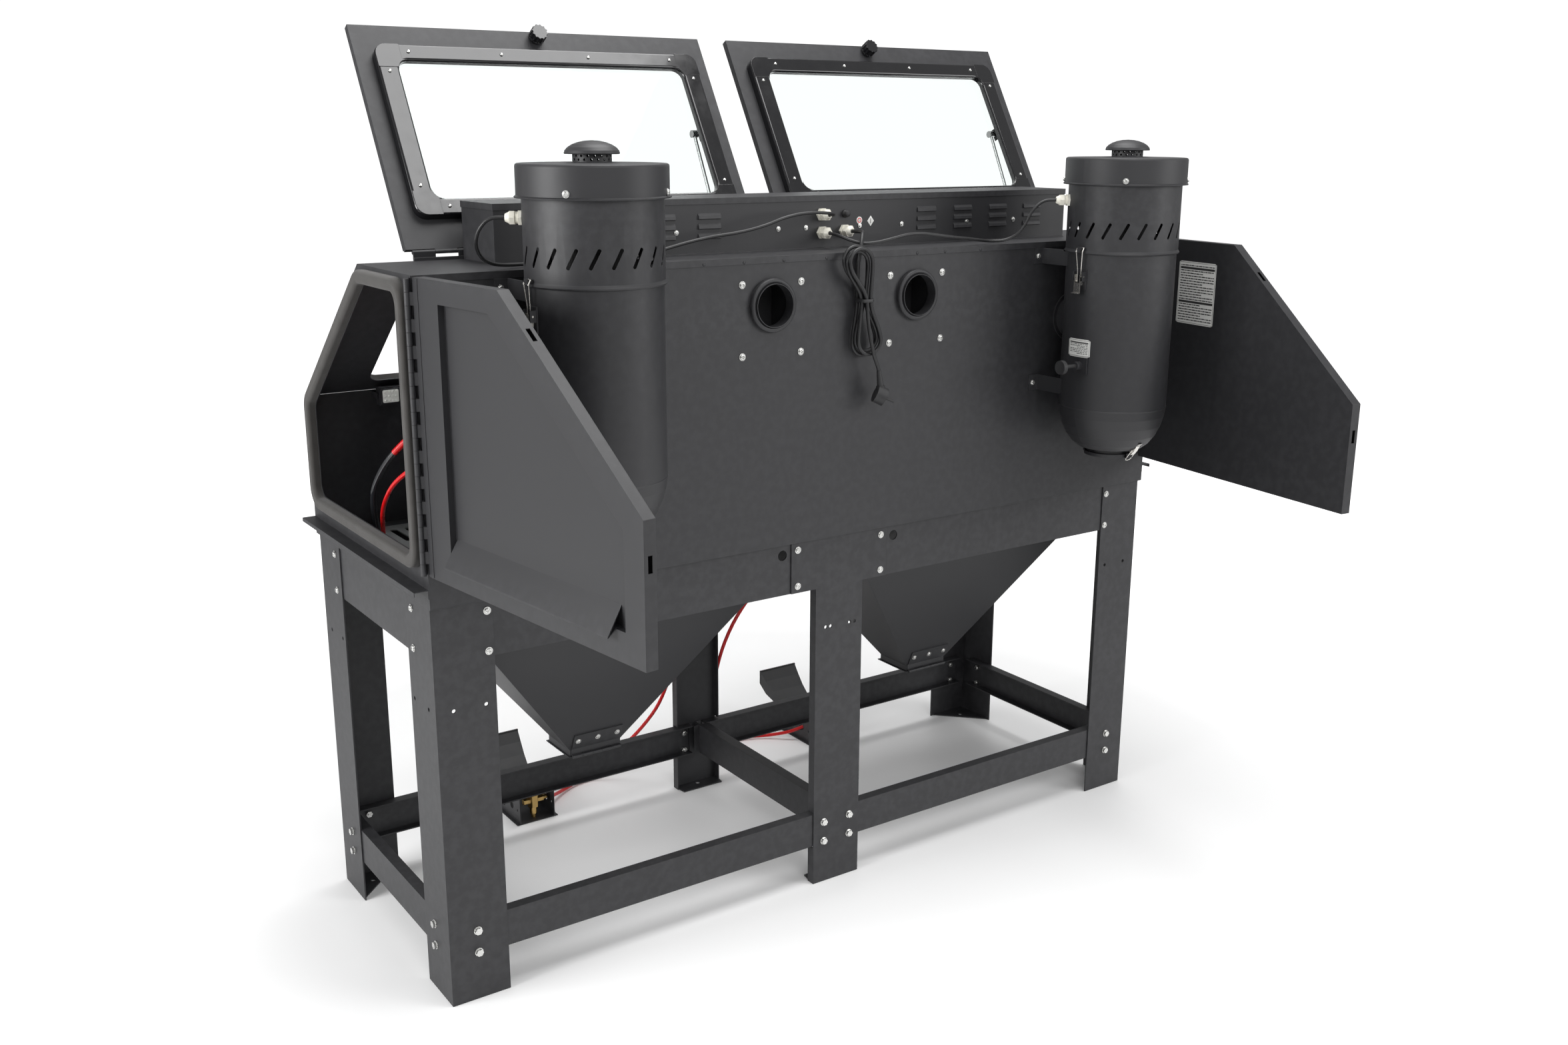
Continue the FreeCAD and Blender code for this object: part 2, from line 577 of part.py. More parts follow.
def door_border():
    """Inner edge of the wide folded border: closed-door (y, z) outline of the recess."""
    hinge_y = DOOR_HINGE_Y
    slope = (DOOR_TOP - DOOR_KNEE) / (DOOR_REACH - DOOR_CORNER)
    top, far, low, near = 1357.0, 592.0, 918.0, 84.0
    drop = 62.0
    corner = DOOR_CORNER + (DOOR_TOP - drop - top) / slope
    far_top = DOOR_KNEE - drop + slope * (DOOR_REACH - far)
    return [(hinge_y - near, low), (hinge_y - near, top), (hinge_y - corner, top),
            (hinge_y - far, far_top), (hinge_y - far, low)]


def make_doors():
    inner = BODY_X + DOOR_GAP
    outer = inner + DOOR_DEPTH
    border = door_border()
    skin = slab(yz(door_points(), outer - 1.5), X * 1.5)
    hollow = Part.makePolygon(yz(door_points(1.5), inner - 1) + yz(door_points(1.5), inner - 1)[:1])
    rim = slab(yz(door_points(), inner), X * DOOR_DEPTH)
    rim = rim.cut(Part.Face(hollow).extrude(X * (DOOR_DEPTH + 3)))
    window = Part.makePolygon(yz(border, inner) + yz(border, inner)[:1])
    flange = slab(yz(door_points(), inner), X * 1.5, holes=[window])
    slope_run = math.hypot(DOOR_REACH - DOOR_CORNER, DOOR_TOP - DOOR_KNEE)
    along = V(0, -(DOOR_REACH - DOOR_CORNER) / slope_run, -(DOOR_TOP - DOOR_KNEE) / slope_run)
    across = V(0, along.z, -along.y)
    start = V(0, DOOR_HINGE_Y - DOOR_CORNER, DOOR_TOP) + along * 86
    slot_low, slot_high = inner + 7, inner + 15
    slant_slot = slab([V(slot_low, start.y, start.z) + across * 6,
                       V(slot_low, start.y, start.z) - across * 6,
                       V(slot_low, start.y, start.z) - across * 6 + along * 27,
                       V(slot_low, start.y, start.z) + across * 6 + along * 27], X * 8)
    far_y = DOOR_HINGE_Y - DOOR_REACH
    far_slot = block(slot_low, slot_high, far_y - 5, far_y + 5, 1019, 1046)
    closed_panel = fuse([skin, rim, flange]).cut(Part.makeCompound([slant_slot, far_slot]))

    hinge_low, hinge_length = DOOR_LOW + 2, DOOR_TOP - DOOR_LOW - 4
    start = V(DOOR_HINGE_X, DOOR_HINGE_Y, hinge_low)
    fixed, moving, step = piano_hinge(start, Z, hinge_length, 23, 5.0, 2.0)
    count = len(fixed) - 1 + len(moving)
    fixed_leaf = [block(BODY_X, BODY_X + 1.4, 300, 312.5, hinge_low, hinge_low + hinge_length)]
    moving_leaf = []
    for i in range(count):
        low, high = hinge_low + i * step + 0.2, hinge_low + (i + 1) * step - 0.2
        side = 1 if i % 2 else -1
        flat_x = DOOR_HINGE_X + side * DOOR_GAP / 2
        web = [V(flat_x, 312.5, low), V(flat_x, 309.5, low),
               V(DOOR_HINGE_X + side * 2.5, DOOR_HINGE_Y - 4.0, low),
               V(DOOR_HINGE_X + side * 4.0, DOOR_HINGE_Y - 2.5, low)]
        (moving_leaf if i % 2 else fixed_leaf).append(slab(web, Z * (high - low)))
    moving_strip = block(inner - 1.2, inner, 296, 312, hinge_low, hinge_low + hinge_length)
    depth = 12.0
    recess = slab(yz(border, inner + depth), X * 1.2)
    wall_in = yz(grown(border, -1.2), inner)
    wall = slab(yz(border, inner), X * (depth + 1), holes=[Part.makePolygon(wall_in + wall_in[:1])])
    near, far = DOOR_HINGE_Y - 88, DOOR_HINGE_Y - 566
    ridge = [V(inner + depth + 0.5, near, 955), V(inner - 15, near, 909), V(inner - 15, near, 906),
             V(inner + 1, near, 918.5), V(inner + depth + 0.5, near, 918.5), V(inner + depth + 0.5, near, 921),
             V(inner + 2, near, 921), V(inner - 12, near, 909.8), V(inner + depth + 0.5, near, 952)]
    baffle = slab(ridge, Y * (far - near))
    closed_panel = fuse([closed_panel, moving_strip, recess, wall, baffle] + moving + moving_leaf)
    panel = door_open(closed_panel)
    save("door_right", panel)
    save("door_left", mirrored(panel))

    lids_fixed = make_lid_hinges()
    save("piano_hinges", both_sides([fuse(fixed + fixed_leaf)]) + lids_fixed)


# ---- lids ---------------------------------------------------------------------------------
def lid_hinge_parts(centre):
    start = V(centre - LID_WIDTH / 2 + 12, 0, 0)
    return piano_hinge(start, X, LID_WIDTH - 24, 45, 4.0, 1.6)


def make_lid_hinges():
    """Fixed halves of the lid hinges, standing on the cabinet top."""
    made = []
    for side in (-1, 1):
        fixed, moving, step = lid_hinge_parts(side * LID_CENTRE_X)
        knuckles = []
        for part in fixed:
            copy = part.copy()
            copy.translate(V(0, LID_HINGE_Y, LID_HINGE_Z))
            knuckles.append(copy)
        first = side * LID_CENTRE_X - LID_WIDTH / 2 + 12
        length = LID_WIDTH - 24
        webs = [block(first + i * step + 0.3, first + (i + 1) * step - 0.3,
                      LID_HINGE_Y + 2.2, LID_HINGE_Y + 4, TOP_Z, LID_HINGE_Z)
                for i in range(0, len(fixed) * 2 - 3, 2)]
        strip = block(first, first + length, LID_HINGE_Y + 6.5, LID_HINGE_Y + 9.5, TOP_Z, TOP_Z + 5.5)
        base = block(first, first + length, LID_HINGE_Y + 2.2, LID_HINGE_Y + 6.6, TOP_Z + 4, TOP_Z + 5.5)
        made.append(fuse(knuckles + webs + [strip, base]))
    return made


STRUT_INSET = 70.0
STRUT_FIXED = (45.0, 40.0)     # along and below the closed lid, from the hinge axis
STRUT_LID = (256.0, 16.0)


def lid_point(t, depth, angle=LID_OPEN_ANGLE, x=0.0):
    """World point of a lid-frame place with the lid at an angle."""
    a = math.radians(angle)
    return V(x, LID_HINGE_Y + t * math.cos(a) - depth * math.sin(a),
             LID_HINGE_Z + t * math.sin(a) + depth * math.cos(a))


def make_lid(name, side):
    centre = side * LID_CENTRE_X
    half, length = LID_WIDTH / 2, LID_LENGTH
    x0, x1 = centre - half, centre + half
    first_t = 5.0
    sheet = block(x0, x1, first_t, length, -2, 0)
    skirt = block(x0, x1, first_t, length, -2, LID_SKIRT)
    skirt = skirt.cut(block(x0 + 1.5, x1 - 1.5, first_t + 1.5, length - 1.5, -3, LID_SKIRT + 1))
    skirt = skirt.cut(block(x0 - 1, x1 + 1, first_t - 1, first_t + 4, LID_SKIRT - 4.5, LID_SKIRT + 1))
    glass_x, glass_t = WINDOW_X / 2 + 14, WINDOW_T / 2 + 14
    hole = block(centre - glass_x, centre + glass_x, WINDOW_CENTRE_T - glass_t,
                 WINDOW_CENTRE_T + glass_t, -9, 9)
    panel = sheet.cut(hole)
    fixed, moving, step = lid_hinge_parts(centre)
    first = x0 + 12
    arms = [block(first + i * step + 0.3, first + (i + 1) * step - 0.3, 2.2, first_t + 1, -2, 0)
            for i in range(1, 2 * len(moving), 2)]
    strut_x = x0 + STRUT_INSET
    t, depth = STRUT_LID
    foot = block(strut_x - 17, strut_x - 14, t - 14, t + 14, 0, depth + 7)
    stud = bar(V(strut_x - 14, t, depth), V(strut_x - 8.3, t, depth), 4)
    lid = fuse([panel, skirt, foot, stud] + moving + arms)
    save("lid_" + name, lid_place(lid))

    glass = slab(xy_rect(centre - glass_x + 1, centre + glass_x - 1, WINDOW_CENTRE_T - glass_t + 1,
                         WINDOW_CENTRE_T + glass_t - 1, -6), Z * 5, 8)
    save("lid_window_" + name, lid_place(glass))

    trim_x, trim_t = TRIM_X / 2, TRIM_T / 2
    low, high = WINDOW_CENTRE_T - trim_t, WINDOW_CENTRE_T + trim_t
    inner = rounded_wire(xy_rect(centre - WINDOW_X / 2, centre + WINDOW_X / 2,
                                 WINDOW_CENTRE_T - WINDOW_T / 2, WINDOW_CENTRE_T + WINDOW_T / 2, -30), 22)
    trim = slab(xy_rect(centre - trim_x, centre + trim_x, low, high, -20), Z * 18, 24)
    trim = trim.cut(Part.Face(inner).extrude(Z * 40))
    pocket = slab(xy_rect(centre - glass_x + 0.5, centre + glass_x - 0.5,
                          WINDOW_CENTRE_T - glass_t + 0.5, WINDOW_CENTRE_T + glass_t - 0.5, -6.5),
                  Z * 8, 8)
    trim = trim.cut(pocket)
    top_edges = [e for e in trim.Edges if e.BoundBox.ZMax < -19.5]
    trim = trim.makeFillet(5, top_edges)
    knob_t = 466.0
    knob = fuse([bar(V(centre, knob_t, -2), V(centre, knob_t, -7), 11),
                 bar(V(centre, knob_t, -7), V(centre, knob_t, -26), 17)])
    lobes = [bar(V(centre, knob_t, -8) + V(19 * math.cos(a), 19 * math.sin(a), 0),
                 V(centre, knob_t, -30) + V(19 * math.cos(a), 19 * math.sin(a), 0), 4)
             for a in [math.radians(30 * i) for i in range(12)]]
    knob = knob.cut(Part.makeCompound(lobes))
    save("window_trim_" + name, [lid_place(trim), lid_place(knob)])


def make_strut(name, side):
    """Gas strut of one lid: cylinder on the cabinet bracket, rod towards the lid stud."""
    closed = LID_OPEN_ANGLE + LID_TRAVEL
    x = side * LID_CENTRE_X - LID_WIDTH / 2 + STRUT_INSET
    foot = lid_point(*STRUT_FIXED, angle=closed, x=x)
    head = lid_point(*STRUT_LID, angle=LID_OPEN_ANGLE, x=x)
    head_closed = lid_point(*STRUT_LID, angle=closed, x=x)
    reach = (head - foot).Length
    line = (head - foot).normalize()
    swing = math.degrees(math.atan2(head_closed.z - foot.z, head_closed.y - foot.y)
                         - math.atan2(head.z - foot.z, head.y - foot.y))
    print("strut", name, "foot", foot, "line", line, "open", round(reach, 1), "closed",
          round((head_closed - foot).Length, 1), "swing", round(swing, 2))
    body_end = 158.0
    cylinder = bar(foot + line * 8, foot + line * body_end, 7.5)
    bore = bar(foot + line * 18, foot + line * (body_end - 8), 6.0)
    neck = bar(foot + line * (body_end - 9), foot + line * (body_end + 1), 3.5 + RUNNING_CLEARANCE)
    eye = bar(foot - X * 7, foot + X * 7, 8).cut(bar(foot - X * 8, foot + X * 8, 4 + RUNNING_CLEARANCE))
    shell = fuse([cylinder.cut(bore), eye.cut(bore)]).cut(neck)
    shell = shell.cut(bar(foot - X * 8, foot + X * 8, 4 + RUNNING_CLEARANCE))
    save("strut_cylinder_" + name, shell)
    rod = fuse([bar(foot + line * 114, head - line * 6, 3.5),
                bar(foot + line * 112, foot + line * 118, 6.0 - RUNNING_CLEARANCE),
                bar(head - X * 7, head + X * 7, 8)])
    save("strut_rod_" + name, rod)


def strut_brackets():
    """Cheeks under the top sheet with the studs that carry the gas struts."""
    closed = LID_OPEN_ANGLE + LID_TRAVEL
    made = []
    for side in (-1, 1):
        x = side * LID_CENTRE_X - LID_WIDTH / 2 + STRUT_INSET
        foot = lid_point(*STRUT_FIXED, angle=closed, x=x)
        made.append(bar(foot - X * 13, foot + X * 7, 4))
        outline = [V(x - 16, s, n) for s, n in ((3, 1), (22, 1), (50, 18), (50, 33), (30, 33))]
        made.append(slope_place(slab(outline, X * 3)))
    return made


# ---- dust canisters -----------------------------------------------------------------------
def can_point(side, radius, turn, z):
    a = math.radians(turn)
    return V(side * CAN_X + radius * math.cos(a), CAN_Y + radius * math.sin(a), z)


def revolve_profile(points, side):
    """Closed (radius, z) outline turned around a canister's axis."""
    corners = [V(side * CAN_X + r, CAN_Y, z) for r, z in points]
    face = Part.Face(Part.makePolygon(corners + corners[:1]))
    return face.revolve(V(side * CAN_X, CAN_Y, 0), Z, 360)


def bowl_profile(inset):
    """Points of the dished bottom from its rim down to the lower edge of the drain neck."""
    steps = 6
    shoulder = BOWL_MOUTH_R + 4
    points = []
    for i in range(steps + 1):
        a = math.radians(90.0 * i / steps)
        radius = shoulder + (CAN_R - shoulder) * math.cos(a)
        z = BOWL_TOP - (BOWL_TOP - BOWL_SHOULDER) * math.sin(a) ** 1.25
        points.append((radius - inset, z + inset * math.sin(a)))
    neck = BOWL_MOUTH_R - inset
    return points + [(neck, BOWL_SHOULDER + inset), (neck, BOWL_LOW)]


def make_canister(side):
    """Solids of one canister, by node."""
    sheet = 1.5
    outer = [(CAN_R, CAN_SEAM), (CAN_R, BOWL_TOP + 3), (CAN_R + 0.8, BOWL_TOP + 2)] + bowl_profile(0)
    inner = [(CAN_R - sheet, CAN_SEAM), (CAN_R - sheet, BOWL_TOP)] + bowl_profile(sheet)[1:]
    body = revolve_profile(outer + list(reversed(inner)), side)
    duct = bar(V(side * CAN_X, REAR, DUCT_Z), V(side * CAN_X, CAN_Y - 80, DUCT_Z), PORT_R + 6)
    bore = bar(V(side * CAN_X, REAR - 9, DUCT_Z), V(side * CAN_X, CAN_Y, DUCT_Z), PORT_R + 4)
    flange = bar(V(side * CAN_X, REAR, DUCT_Z), V(side * CAN_X, REAR + 3, DUCT_Z), PORT_R + 14)
    core = bar(V(side * CAN_X, CAN_Y, BOWL_TOP), V(side * CAN_X, CAN_Y, CAN_SEAM + 1), CAN_R - sheet)
    duct = fuse([duct, flange]).cut(core)
    arms = []
    seam_ring = bar(V(side * CAN_X, CAN_Y, CAN_SEAM - 0.5), V(side * CAN_X, CAN_Y, CAN_SEAM + 9), HEAD_R + 5)
    for z in (1367, 1084):
        for out in (-1, 1):
            x = side * CAN_X + out * 98
            arm = block(x - 1.5, x + 1.5, REAR, CAN_Y - 62, z - 17, z + 17)
            tab = block(min(x, x + out * 26), max(x, x + out * 26), REAR, REAR + 3, z - 17, z + 17)
            arms.append(fuse([arm, tab]).cut(core).cut(seam_ring))
    keeper = block(side * CAN_X + CAN_R - 2, side * CAN_X + CAN_R + 2, CAN_Y - 15, CAN_Y + 15, 1304, 1350)
    ears = [block(side * CAN_X + CAN_R - 2, side * CAN_X + CAN_R + 13, y, y + 2, 1324, 1344)
            for y in (CAN_Y - 14.4, CAN_Y + 12.4)]
    guide_base = can_point(side, CAN_R - 2, 4, 1142)
    guide = fuse([block(guide_base.x, guide_base.x + 4, guide_base.y - 16, guide_base.y + 22, 1124, 1160),
                  bar(guide_base, guide_base + X * 16, 9)])
    body = fuse([body, duct, keeper, guide] + arms + ears)
    body = body.cut(bore)
    latch_pin = V(side * CAN_X + CAN_R + 8, CAN_Y, 1334)
    body = body.cut(bar(latch_pin - Y * 20, latch_pin + Y * 20, 2 + RUNNING_CLEARANCE))
    body = body.cut(bar(guide_base - X * 12, guide_base + X * 20, 4 + RUNNING_CLEARANCE))

    head = revolve_profile([(HEAD_R, CAN_SEAM + 8), (HEAD_R, HEAD_TOP), (HEAD_R - sheet, HEAD_TOP),
                            (HEAD_R - sheet, CAN_SEAM + 8), (CAN_R - 2, CAN_SEAM + 8),
                            (CAN_R - 2, CAN_SEAM), (HEAD_R + 1.5, CAN_SEAM), (HEAD_R + 3, CAN_SEAM + 2.5),
                            (HEAD_R + 1.5, CAN_SEAM + 5)], side)
    slots = []
    lean = 7.0
    for i in range(20):
        top = 12.2 + 18 * i
        low_point, high_point = can_point(side, HEAD_R, top - lean, 1417), can_point(side, HEAD_R, top, 1445)
        middle = (low_point + high_point) * 0.5
        out = V(middle.x - side * CAN_X, middle.y - CAN_Y, 0).normalize()
        along = (high_point - low_point)
        along = along - out * along.dot(out)
        size = along.Length
        along.normalize()
        across = out.cross(along)
        corners = [middle + along * (sa * (size / 2 + 3)) + across * (sb * 3.2) - out * 14
                   for sa, sb in ((-1, -1), (1, -1), (1, 1), (-1, 1))]
        slots.append(Part.Face(rounded_wire(corners, 3.0)).extrude(out * 28))
    hook = block(side * CAN_X + HEAD_R - 1, side * CAN_X + HEAD_R + 10, CAN_Y - 6, CAN_Y + 6, 1389, 1392)
    hook = fuse([hook, block(side * CAN_X + HEAD_R + 8, side * CAN_X + HEAD_R + 10, CAN_Y - 6, CAN_Y + 6,
                             1389, 1396)])
    head = fuse([head, hook]).cut(Part.makeCompound(slots))

    cap = revolve_profile([(CAP_R, HEAD_TOP), (CAP_R + 2.5, HEAD_TOP), (CAP_R + 3.2, HEAD_TOP + 2),
                           (CAP_R, HEAD_TOP + 4), (CAP_R, CAP_TOP - 4), (CAP_R - 1.2, CAP_TOP - 1.2),
                           (CAP_R - 4, CAP_TOP), (31, CAP_TOP + 2), (31, CAP_TOP),
                           (CAP_R - 4, CAP_TOP - 1.8), (CAP_R - 1.8, CAP_TOP - 4),
                           (CAP_R - 1.8, HEAD_TOP)], side)
    shelf = revolve_profile([(HEAD_R, HEAD_TOP), (CAP_R - 1.8, HEAD_TOP), (CAP_R - 1.8, HEAD_TOP + 1.5),
                             (HEAD_R - 20, HEAD_TOP + 1.5), (HEAD_R - 20, HEAD_TOP)], side)
    collar = revolve_profile([(33, CAP_TOP + 2), (33, CAP_TOP + 16), (31.4, CAP_TOP + 16),
                              (31.4, CAP_TOP + 2)], side)
    holes = []
    for row in range(2):
        for i in range(18):
            turn = 20 * i + 10 * row
            holes.append(bar(can_point(side, 28, turn, CAP_TOP + 6 + 6 * row),
                             can_point(side, 37, turn, CAP_TOP + 6 + 6 * row), 2.0))
    collar = collar.cut(Part.makeCompound(holes))
    dome = [(0, CAP_TOP + 37)]
    for i in range(1, 7):
        a = math.radians(90 * i / 6)
        dome.append((47 * math.sin(a), CAP_TOP + 16 + 21 * math.cos(a) ** 1.1))
    hood = revolve_profile(dome + [(46, CAP_TOP + 14.8), (33, CAP_TOP + 16), (0, CAP_TOP + 34)], side)
    cap_group = [fuse([cap, shelf]), fuse([hood, collar])]

    cartridge_outer, cartridge_inner = 92.0, 60.0
    ring_points = []
    pleats = 40
    for i in range(2 * pleats):
        radius = cartridge_outer if i % 2 else cartridge_outer - 16
        ring_points.append(can_point(side, radius, 180.0 * i / pleats, 1120))
    pleated = Part.Face(Part.makePolygon(ring_points + ring_points[:1])).extrude(Z * 240)
    pleated = pleated.cut(bar(can_point(side, 0, 0, 1119), can_point(side, 0, 0, 1361), cartridge_inner))
    end_caps = [tube(can_point(side, 0, 0, z), can_point(side, 0, 0, z + 8), cartridge_outer + 3,
                     cartridge_inner - 4) for z in (1112, 1360)]
    seat = tube(can_point(side, 0, 0, 1368), can_point(side, 0, 0, 1372), CAN_R - 1.6, cartridge_inner - 4)
    cartridge = fuse([pleated] + end_caps + [seat])

    motor_plate = tube(can_point(side, 0, 0, 1404), can_point(side, 0, 0, 1407), HEAD_R - sheet, 30)
    motor = fuse([motor_plate, bar(can_point(side, 0, 0, 1407), can_point(side, 0, 0, 1447), 72),
                  bar(can_point(side, 0, 0, 1447), can_point(side, 0, 0, 1500), 46),
                  bar(can_point(side, 0, 0, 1500), can_point(side, 0, 0, 1508), 20)])
    motor = motor.cut(Part.makeCompound(slots))
    return {"canister_bodies": [body], "canister_heads": [head], "canister_caps": cap_group,
            "filter_cartridges": [cartridge], "blower_motors": [motor]}


def make_canister_fittings(name, side):
    """Moving parts of one canister: toggle latch, shaker knob and drain cap."""
    pin = V(side * CAN_X + CAN_R + 8, CAN_Y, 1334)
    joint = pin + V(-0.5, 0, -10)
    lever = [block(pin.x + 4, pin.x + 6, CAN_Y - 9, CAN_Y + 9, 1300, 1320),
             block(pin.x + 4, pin.x + 12, CAN_Y - 9, CAN_Y + 9, 1298, 1300)]
    for out in (-1, 1):
        low, high = sorted((CAN_Y + out * 7, CAN_Y + out * 9))
        lever.append(block(pin.x - 3.5, pin.x + 6, low, high, 1316, 1338))
        lever.append(bar(pin + Y * (out * 7), pin + Y * (out * 14.4), 2))
    lever = fuse(lever).cut(bar(joint - Y * 12, joint + Y * 12, 1.5 + RUNNING_CLEARANCE))
    save("canister_latch_" + name, lever)
    bail = []
    for out in (-1, 1):
        route = [joint + Y * (out * 9), joint + Y * (out * 5.2), V(pin.x + 0.5, CAN_Y + out * 5.2, 1350),
                 V(pin.x + 3.5, CAN_Y + out * 9, 1386), V(pin.x - 0.5, CAN_Y + out * 9, 1394)]
        for start, end in zip(route, route[1:]):
            bail.append(bar(start, end, 1.5))
            bail.append(Part.makeSphere(1.5, end))
    bail.append(bar(V(pin.x - 0.5, CAN_Y - 9, 1394), V(pin.x - 0.5, CAN_Y + 9, 1394), 1.5))
    save("latch_bail_" + name, fuse(bail))

    guide = can_point(side, CAN_R - 2, 4, 1142)
    rod_inner = guide - X * 15
    knob = fuse([bar(rod_inner, guide + X * 58, 4), bar(guide + X * 52, guide + X * 62, 15)])
    save("shaker_knob_" + name, knob)

    rim = BOWL_MOUTH_R + 5
    plate = revolve_profile([(0, BOWL_LOW - 2.5), (rim, BOWL_LOW - 2.5), (rim, BOWL_LOW + 5), (rim - 1.5, BOWL_LOW + 5),
                             (rim - 1.5, BOWL_LOW - 0.5), (0, BOWL_LOW - 0.5)], side)
    mouth = V(side * CAN_X, CAN_Y, BOWL_LOW)
    latch = fuse([block(mouth.x - 9, mouth.x + 9, mouth.y + rim - 3, mouth.y + rim + 7, BOWL_LOW - 2.5, BOWL_LOW - 0.5),
                  block(mouth.x - 9, mouth.x + 9, mouth.y + rim + 5, mouth.y + rim + 7, BOWL_LOW - 2.5, BOWL_LOW + 8)])
    axle = V(mouth.x, mouth.y - BOWL_MOUTH_R - 10, BOWL_LOW - 1.5)
    knuckle = bar(axle - X * 12, axle + X * 12, 3.5)
    arm = block(mouth.x - 12, mouth.x + 12, axle.y, mouth.y - rim + 3, BOWL_LOW - 2.5, BOWL_LOW - 0.5)
    cap = fuse([plate, latch, knuckle, arm]).cut(bar(axle - X * 13, axle + X * 13, 1.5 + RUNNING_CLEARANCE))
    save("drain_cap_" + name, cap)


def drain_hinge(side):
    """Ears and pin on the bowl that carry the drain cap."""
    hinge_y = CAN_Y - BOWL_MOUTH_R - 10
    x, z = side * CAN_X, BOWL_LOW - 1.5
    pin = bar(V(x - 17, hinge_y, z), V(x + 17, hinge_y, z), 1.5)
    ears = []
    for low in (x - 16.5, x + 12.5):
        ears.append(slab(yz([(hinge_y - 3.5, z - 3.5), (hinge_y + 3.5, z - 3.5), (hinge_y + 12, BOWL_LOW + 24),
                             (hinge_y - 6, BOWL_LOW + 30)], low), X * 4))
    return fuse([pin] + ears)


def make_canisters():
    groups = {}
    for name, side in (("right", 1), ("left", -1)):
        parts = make_canister(side)
        ears = drain_hinge(side).cut(bar(V(side * CAN_X, CAN_Y, BOWL_LOW - 9),
                                         V(side * CAN_X, CAN_Y, BOWL_LOW + 8), BOWL_MOUTH_R + 6))
        parts["canister_bodies"][0] = fuse([parts["canister_bodies"][0], ears])
        for node, solids in parts.items():
            groups.setdefault(node, []).extend(solids)
        make_canister_fittings(name, side)
    for node, solids in groups.items():
        save(node, solids)


